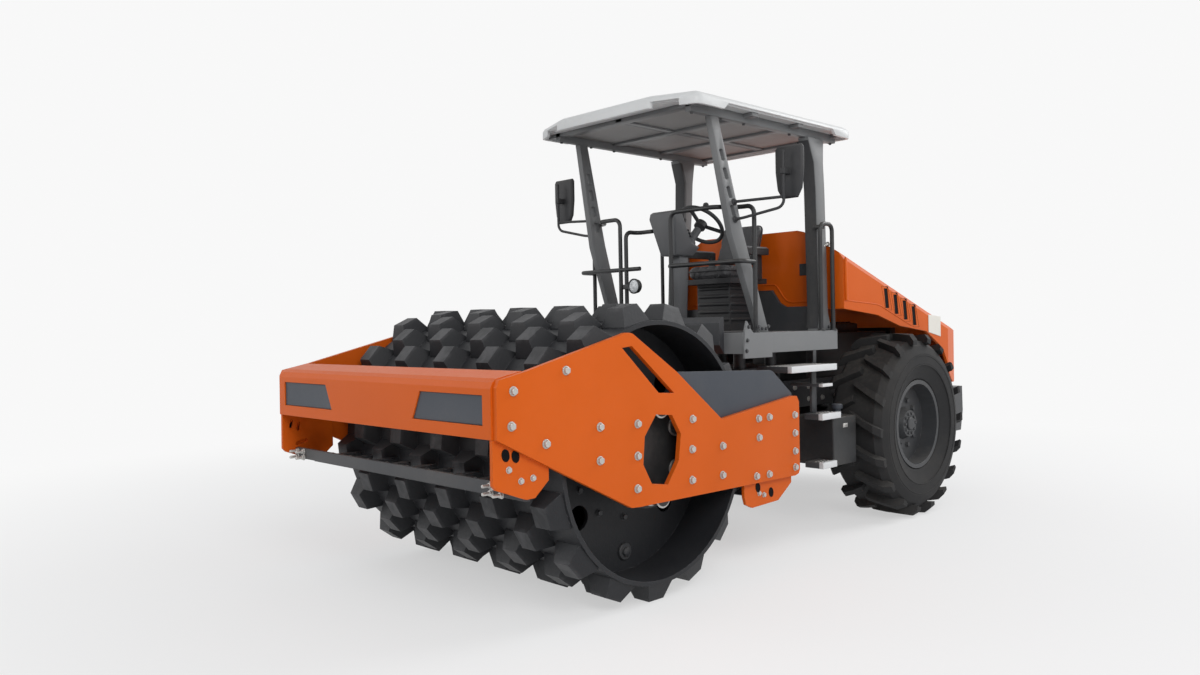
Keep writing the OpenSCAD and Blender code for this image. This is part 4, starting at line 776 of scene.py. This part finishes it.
# Mirrors: a bent tube on two legs carries each head. The glass faces back to the seat.
mirror_glass = finish("mirror glass", (0.60, 0.63, 0.66), 0.04, (0.7, 0.7, 0.7), wear=0.0, dust=0.05, grain=0.0, Metallic=1.0)
head_outline = ((-0.060, 2.371), (0.060, 2.371), (0.095, 2.431), (0.110, 2.551), (0.110, 2.701), (0.095, 2.721),
                (-0.095, 2.721), (-0.110, 2.701), (-0.110, 2.551), (-0.095, 2.431))
for side, hand, base_x, head_x in ((1, "left", 0.500, 0.375), (-1, "right", 0.530, 0.585)):
    legs = [tube([(base_x, side * 0.687, 2.246), (base_x, side * 0.727, 2.246), (head_x, side * 1.0, 2.311),
                  (head_x, side * 1.0, 2.680)], 0.010, bend=0.045),
            tube([(base_x, side * 0.682, 2.364), (base_x, side * 0.722, 2.364), (head_x, side * 1.0, 2.376)], 0.010,
                 bend=0.030)]
    foot = set_out(turned([(0.024, 0), (0.024, 0.006), (0.016, 0.010), (0.013, 0.022)], 20),
                   [Matrix.Translation((base_x, side * y, z)) @ outward[side] for y, z in ((0.690, 2.246), (0.6845, 2.364))])
    clamp = emboss(block((head_x - 0.056, side * 1.0 - 0.016, 2.526), (head_x + 0.014, side * 1.0 + 0.016, 2.566)),
                   lambda centre, normal: normal.x > 0.9, 0.004, 0.002)
    shell = cut_plate(head_outline, lambda y, z: (head_x - 0.079, side * 1.0 + y, z), (0.010, 0, 0))
    emboss(shell, lambda centre, normal: normal.x > 0.9, 0.008, 0.009)
    emboss(shell, lambda centre, normal: normal.x > 0.9, 0.016, 0.005)
    emboss(shell, lambda centre, normal: normal.x < -0.9, 0.005, -0.003)
    arm = settle(gather(legs + [foot, clamp, shell]), "mirror_arm_" + hand, plastic, "rear_frame",
                 edge=0.001)
    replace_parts(arm, "mirror_" + hand)
    glass = cut_plate([(y * 0.945, 2.546 + (z - 2.546) * 0.965) for y, z in head_outline],
                      lambda y, z: (head_x - 0.0765, side * 1.0 + y, z), (-0.001, 0, 0))
    settle(glass, "mirror_glass_" + hand, mirror_glass, "rear_frame")

# Console and steering: a moulded pod on a steel column, with a display, rows of keys and two knobs on its
# sloped face, and a drive lever at its right side. The wheel has a cap and a spinner knob.
dress(plastic, "steering_wheel", "seat_base")
console_grey = finish("console plastic", (0.105, 0.108, 0.114), 0.50, (0.17, 0.17, 0.18), wear=0.4, grain=0.0005,
                      size=420.0, Specular_IOR_Level=0.35)
pod = cut_plate(((0.205, 2.050), (0.405, 2.050), (0.473, 2.320), (0.463, 2.360), (0.433, 2.376), (0.385, 2.370),
                 (0.240, 2.150), (0.140, 2.120)), lambda x, z: (x, -0.118, z), (0, 0.236, 0))
for side in (1, -1):
    pick(pod, lambda centre, normal: side * normal.y > 0.9)
    bpy.ops.mesh.inset(thickness=0.014, depth=0.010)
    bpy.ops.object.mode_set(mode="OBJECT")
for vertex in pod.data.vertices:
    vertex.co.y *= 0.58 + 0.42 * max(0.0, min(1.0, (vertex.co.z - 2.05) / 0.24))
emboss(pod, lambda centre, normal: normal.x > 0.9, 0.020, -0.006)
column = cut_plate(((0.262, 1.520), (0.365, 1.520), (0.335, 2.070), (0.235, 2.070)), lambda x, z: (x, -0.052, z),
                   (0, 0.104, 0))
base = emboss(block((0.190, -0.150, 1.4805), (0.370, 0.150, 1.505)), lambda c, n: n.z > 0.9, 0.020, 0.035)
wheel_axis = Vector((-math.sin(math.radians(43.8)), 0, math.cos(math.radians(43.8))))
wheel_centre = Vector((0.023, 0, 2.300))
shaft = tube([wheel_centre - wheel_axis * 0.052, wheel_centre - wheel_axis * 0.270], 0.030)
collar = turned([(0.046, -0.250), (0.046, -0.190), (0.040, -0.175), (0.031, -0.172)])
to_wheel = Matrix.Translation(wheel_centre) @ wheel_axis.to_track_quat("Z", "Y").to_matrix().to_4x4()
console = settle(gather([pod, column, base, shaft, set_out(collar, [to_wheel])]), "console_pod", console_grey, "rear_frame",
                 edge=0.005)
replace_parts(console, "console")
slope = Matrix(((0, 0.550, -0.835, 0.3125), (1, 0, 0, 0), (0, 0.835, 0.550, 2.260), (0, 0, 0, 1)))
bezel = emboss(block((-0.075, -0.005, -0.002), (0.075, 0.095, 0.006)), lambda c, n: n.z > 0.9, 0.010, -0.004)
keys = [block((x - 0.010, y - 0.007, -0.002), (x + 0.010, y + 0.007, 0.005)) for x in
        (-0.100, -0.050, -0.020, 0.020, 0.050, 0.100) for y in (-0.030, -0.055, -0.080)]
for key in keys:
    emboss(key, lambda centre, normal: normal.z > 0.9, 0.002, 0.0015)
knob = turned([(0.014, -0.001), (0.014, 0.006), (0.011, 0.008), (0.0105, 0.020), (0.008, 0.022)], 20)
knobs = set_out(knob, [Matrix.Translation((x, 0.050, 0)) for x in (-0.103, 0.103)])
panel = set_out(gather([bezel, knobs] + keys), [slope])
settle(panel, "console_panel", plastic, "rear_frame", edge=0.001)
screen_blue = finish("display glass", (0.050, 0.085, 0.120), 0.10, (0.2, 0.25, 0.3), wear=0.0, dust=0.10, grain=0.0,
                     Coat_Weight=0.4, Coat_Roughness=0.05)
screen = set_out(emboss(block((-0.063, 0.007, 0.000), (0.063, 0.083, 0.003)), lambda c, n: n.z > 0.9, 0.003, 0.0005),
                 [slope])
settle(screen, "console_screen", screen_blue, "rear_frame")
lever = tube([(0.300, -0.1295, 2.120), (0.300, -0.170, 2.140), (0.270, -0.180, 2.260)], 0.007, bend=0.025)
grip = set_out(turned([(0.010, -0.010), (0.016, 0.000), (0.019, 0.025), (0.018, 0.045), (0.010, 0.056)], 24),
               [Matrix.Translation((0.270, -0.180, 2.255)) @ Matrix.Rotation(math.radians(-14), 4, "Y")])
boot = set_out(turned([(0.026, 0), (0.026, 0.004), (0.018, 0.010), (0.020, 0.014), (0.012, 0.022)], 24),
               [Matrix.Translation((0.300, -0.1295, 2.120)) @ outward[-1]])
settle(gather([lever, grip, boot]), "drive_lever", plastic, "rear_frame")
cap = turned([(0.046, 0.013), (0.046, 0.019), (0.038, 0.025), (0.014, 0.027)])
spinner = set_out(turned([(0.009, -0.002), (0.009, 0.020), (0.020, 0.028), (0.023, 0.042), (0.016, 0.054)], 24),
                  [Matrix.Translation((-0.110, 0.142, 0.010))])
settle(set_out(gather([cap, spinner]), [to_wheel]), "wheel_fittings", plastic, "steering_wheel")

# Work lamp: a round die-cast head on a plate between the handrails, with a ribbed lens. It faces forwards.
lamp_body = turned([(0.030, 0.000), (0.042, 0.004), (0.050, 0.014), (0.050, 0.036), (0.056, 0.038), (0.056, 0.050),
                    (0.050, 0.052), (0.047, 0.044), (0.020, 0.043)])
lamp_body = set_out(lamp_body, [Matrix.Translation((0.571, -0.150, 1.830)) @ to_front])
lamp_plate = emboss(block((0.5715, -0.298, 1.812), (0.579, -0.150, 1.848)), lambda c, n: n.x > 0.9, 0.004, 0.001)
lamp_piece = settle(gather([lamp_body, lamp_plate]), "work_lamp_head", black_paint, "rear_frame")
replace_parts(lamp_piece, "work_lamp")
lamp_lens = finish("lamp lens", (0.70, 0.72, 0.74), 0.10, (0.8, 0.8, 0.8), wear=0.0, dust=0.10, size=900.0,
                   Coat_Weight=0.5, Coat_Roughness=0.05)
lens_piece = turned([(0.0465, 0.0435), (0.0465, 0.046), (0.040, 0.050), (0.028, 0.052), (0.026, 0.0505), (0.014, 0.0535)])
settle(set_out(lens_piece, [Matrix.Translation((0.571, -0.150, 1.830)) @ to_front]), "work_lamp_lens", lamp_lens,
       "rear_frame")

# Entry steps: dark pressed treads with raised studs and pale aluminium outer edges, on welded hangers. The lower two
# sit at the side boxes, whose fronts are folded lids with a rim and a latch, and the top one runs to the rail.
tread = finish("tread edge", (0.74, 0.75, 0.76), 0.45, (0.66, 0.66, 0.66), wear=0.3, dust=0.3, Metallic=0.25,
               Specular_IOR_Level=0.35)
for side, hand in ((1, "left"), (-1, "right")):
    steps, edges, spots = [], [], []
    for x0, x1, y0, z0, z1 in ((-0.310, -0.130, 0.800, 0.505, 0.548), (-0.370, -0.130, 0.800, 0.8505, 0.893),
                               (-0.325, 0.240, 0.660, 1.200, 1.243), (-0.265, -0.140, 0.680, 1.085, 1.105)):
        y_low, y_high = sorted((side * y0, side * 0.918))
        steps.append(emboss(block((x0, y_low, z0), (x1, y_high, z1)), lambda c, n: n.z > 0.9, 0.008, -0.003))
        y_low, y_high = sorted((side * 0.916, side * 0.950))
        edges.append(emboss(block((x0 - 0.001, y_low, z0 - 0.001), (x1 + 0.001, y_high, z1 + 0.001)),
                            lambda c, n: side * n.y > 0.9, 0.006, 0.002))
        if z1 != 1.105:
            spots += [Matrix.Translation((x0 + 0.035 + 0.035 * i, side * (0.896 - 0.034 * j), z1 - 0.003))
                      for i in range(int((x1 - x0 - 0.035) / 0.035)) for j in range(int((0.896 - y0) / 0.034))]
    hangers = [block((-0.260, min(side * 0.800, side * 0.820), 0.892), (-0.200, max(side * 0.800, side * 0.820), 1.201)),
               block((-0.295, min(side * 0.794, side * 0.800), 1.242), (-0.255, max(side * 0.794, side * 0.800), 1.345))]
    studs = set_out(turned([(0.009, -0.002), (0.009, 0.002), (0.006, 0.004)], 8), spots)
    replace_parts(settle(gather(steps + hangers), "step_treads_" + hand, dark_paint, "rear_frame", edge=0.002),
                "entry_steps")
    settle(studs, "step_studs_" + hand, plated, "rear_frame")
    settle(gather(edges), "step_edges_" + hand, tread, "rear_frame", edge=0.002)
    box = block((-0.620, min(side * 0.560, side * 0.920), 0.500), (-0.312, max(side * 0.560, side * 0.920), 0.850))
    for reach in (lambda c, n: n.x > 0.9, lambda c, n: side * n.y > 0.9):
        emboss(box, reach, 0.012, -0.004)
        emboss(box, reach, 0.004, 0.006)
    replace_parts(settle(box, "side_box_" + hand, black_paint, "rear_frame", edge=0.005), "side_boxes")
    hatch = emboss(block((-0.500, min(side * 0.918, side * 0.926), 0.770), (-0.440, max(side * 0.918, side * 0.926), 0.800)),
                   lambda centre, normal: side * normal.y > 0.9, 0.005, 0.003)
    settle(hatch, "box_latch_" + hand, plated, "rear_frame", edge=0.001)
cap = turned([(0.046, 0.0), (0.046, 0.006), (0.030, 0.010), (0.030, 0.046), (0.042, 0.048), (0.042, 0.076), (0.036, 0.082)])
cap = set_out(cap, [Matrix.Translation((-0.560, 0.800, 0.848))])
settle(cap, "tank_cap", blue_grey, "rear_frame")

# Seat: a moulded pan on a bellows, a foam cushion and a leaning back in vinyl with drawn-in channels and
# piping, and padded arm rests.
vinyl, tree = new_material("seat vinyl")
place = shader(tree, "TexCoord").outputs["Object"]
cells = shader(tree, "TexVoronoi", {"Vector": place, "Scale": 420.0}, feature="DISTANCE_TO_EDGE").outputs["Distance"]
folds = shader(tree, "TexNoise", {"Vector": place, "Scale": 22.0, "Detail": 4.0, "Distortion": 0.8}).outputs["Fac"]
grained = shader(tree, "Bump", {"Height": cells, "Strength": 0.5, "Distance": 0.0006})
soft = shader(tree, "Bump", {"Height": folds, "Strength": 0.4, "Distance": 0.004, "Normal": grained.outputs[0]})
tone = shader(tree, "Mix", {0: folds, 6: (0.050, 0.050, 0.053, 1), 7: (0.085, 0.085, 0.089, 1)}, data_type="RGBA")
coat = shader(tree, "BsdfPrincipled", {"Base Color": tone.outputs[2], "Roughness": 0.52, "Normal": soft.outputs[0],
                                       "Specular IOR Level": 0.4})
shader(tree, "OutputMaterial", {"Surface": coat.outputs[0]})


def stuffed(size, channels, most=0.022):
    """A foam piece lying on z = 0: a rounded box blown up as cloth, with channels drawn in across it."""
    bpy.ops.object.select_all(action="DESELECT")
    bpy.ops.mesh.primitive_cube_add(size=2)
    piece = bpy.context.object
    bpy.ops.object.mode_set(mode="EDIT")
    bpy.ops.mesh.subdivide(number_cuts=7)
    bpy.ops.object.mode_set(mode="OBJECT")
    half = Vector(size) / 2
    for vertex in piece.data.vertices:
        u, v, w = vertex.co
        edge = max(abs(u), abs(v))
        share = edge / max(1e-6, (abs(u) ** 7 + abs(v) ** 7) ** (1 / 7)) * 0.965
        thick = 1 - 0.32 * edge ** 5
        vertex.co = (u * share * half.x, v * share * half.y, half.z * (1 + w * thick * 0.90))
    remesh = piece.modifiers.new("remesh", "REMESH")
    remesh.mode = "VOXEL"
    remesh.voxel_size = 0.006
    bpy.ops.object.modifier_apply(modifier=remesh.name)
    flat = [vertex.co.copy() for vertex in piece.data.vertices]
    cloth = piece.modifiers.new("cloth", "CLOTH")
    cloth.settings.use_pressure = True
    cloth.settings.uniform_pressure_force = 4.0
    cloth.settings.effector_weights.gravity = 0
    for frame in range(1, 21):
        bpy.context.scene.frame_set(frame)
    bpy.ops.object.modifier_apply(modifier=cloth.name)
    bpy.context.scene.frame_set(1)
    for vertex, before in zip(piece.data.vertices, flat):
        move = vertex.co - before
        vertex.co = before + move.normalized() * min(move.length, most)
    for vertex in piece.data.vertices:
        depth = sum(0.008 * math.exp(-((vertex.co.x - at) / 0.008) ** 2) for at in channels)
        top = max(0.0, min(1.0, (vertex.co.z - half.z) / half.z))
        vertex.co.z -= depth * top
        vertex.co = [max(low, min(high, value)) for value, low, high in
                     zip(vertex.co, (-half.x, -half.y, 0.0), (half.x, half.y, size[2]))]
    finer = piece.modifiers.new("finer", "SUBSURF")
    finer.levels = 1
    bpy.ops.object.modifier_apply(modifier=finer.name)
    return piece


def piping(size, height, radius=0.0045):
    """The piped seam round a foam piece."""
    corners = [(u * size[0] * 0.462, v * size[1] * 0.462, height) for u, v in ((1, 1), (-1, 1), (-1, -1), (1, -1))]
    return tube(corners, radius, bend=0.05, closed=True)


cushion_size = (0.456, 0.416, 0.098)
cushion_place = Matrix.Translation((-0.235, 0, 1.8905))
back_size = (0.355, 0.408, 0.086)
back_low, back_high = Vector((-0.410, 0, 1.992)), Vector((-0.517, 0, 2.330))
rise = (back_high - back_low).normalized()
front = rise.cross(Vector((0, 1, 0)))
back_place = Matrix((
    (rise.x, 0, front.x, (back_low.x + back_high.x) / 2 - front.x * 0.043), (0, 1, 0, 0),
    (rise.z, 0, front.z, (back_low.z + back_high.z) / 2 - front.z * 0.043), (0, 0, 0, 1)))
for name, size, place, channels in (
    ("seat_cushion", cushion_size, cushion_place, (-0.11, -0.03, 0.05, 0.13)),
    ("seat_back", back_size, back_place, (-0.09, -0.02, 0.05)),
):
    pad = settle(set_out(stuffed(size, channels), [place]), name + "_foam", vinyl, "rear_frame", smooth=180)
    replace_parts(pad, name)
    seam = set_out(piping(size, size[2] * 0.60), [place])
    settle(seam, name + "_piping", plastic, "rear_frame")
for side, hand in ((1, "left"), (-1, "right")):
    pad = block((-0.440, side * 0.2625 - 0.026, 2.114), (-0.110, side * 0.2625 + 0.026, 2.122))
    emboss(pad, lambda centre, normal: normal.z > 0.9, 0.010, 0.010)
    settle(pad, "arm_pad_" + hand, vinyl, "rear_frame", edge=0.006)
rings = []
for height in (1.575, 1.635, 1.695, 1.755, 1.815):
    ring = tube([(-0.420, -0.155, height), (-0.120, -0.155, height), (-0.120, 0.155, height), (-0.420, 0.155, height)],
                0.016, bend=0.03, closed=True)
    rings.append(ring)
settle(gather(rings), "seat_bellows", plastic, "rear_frame")
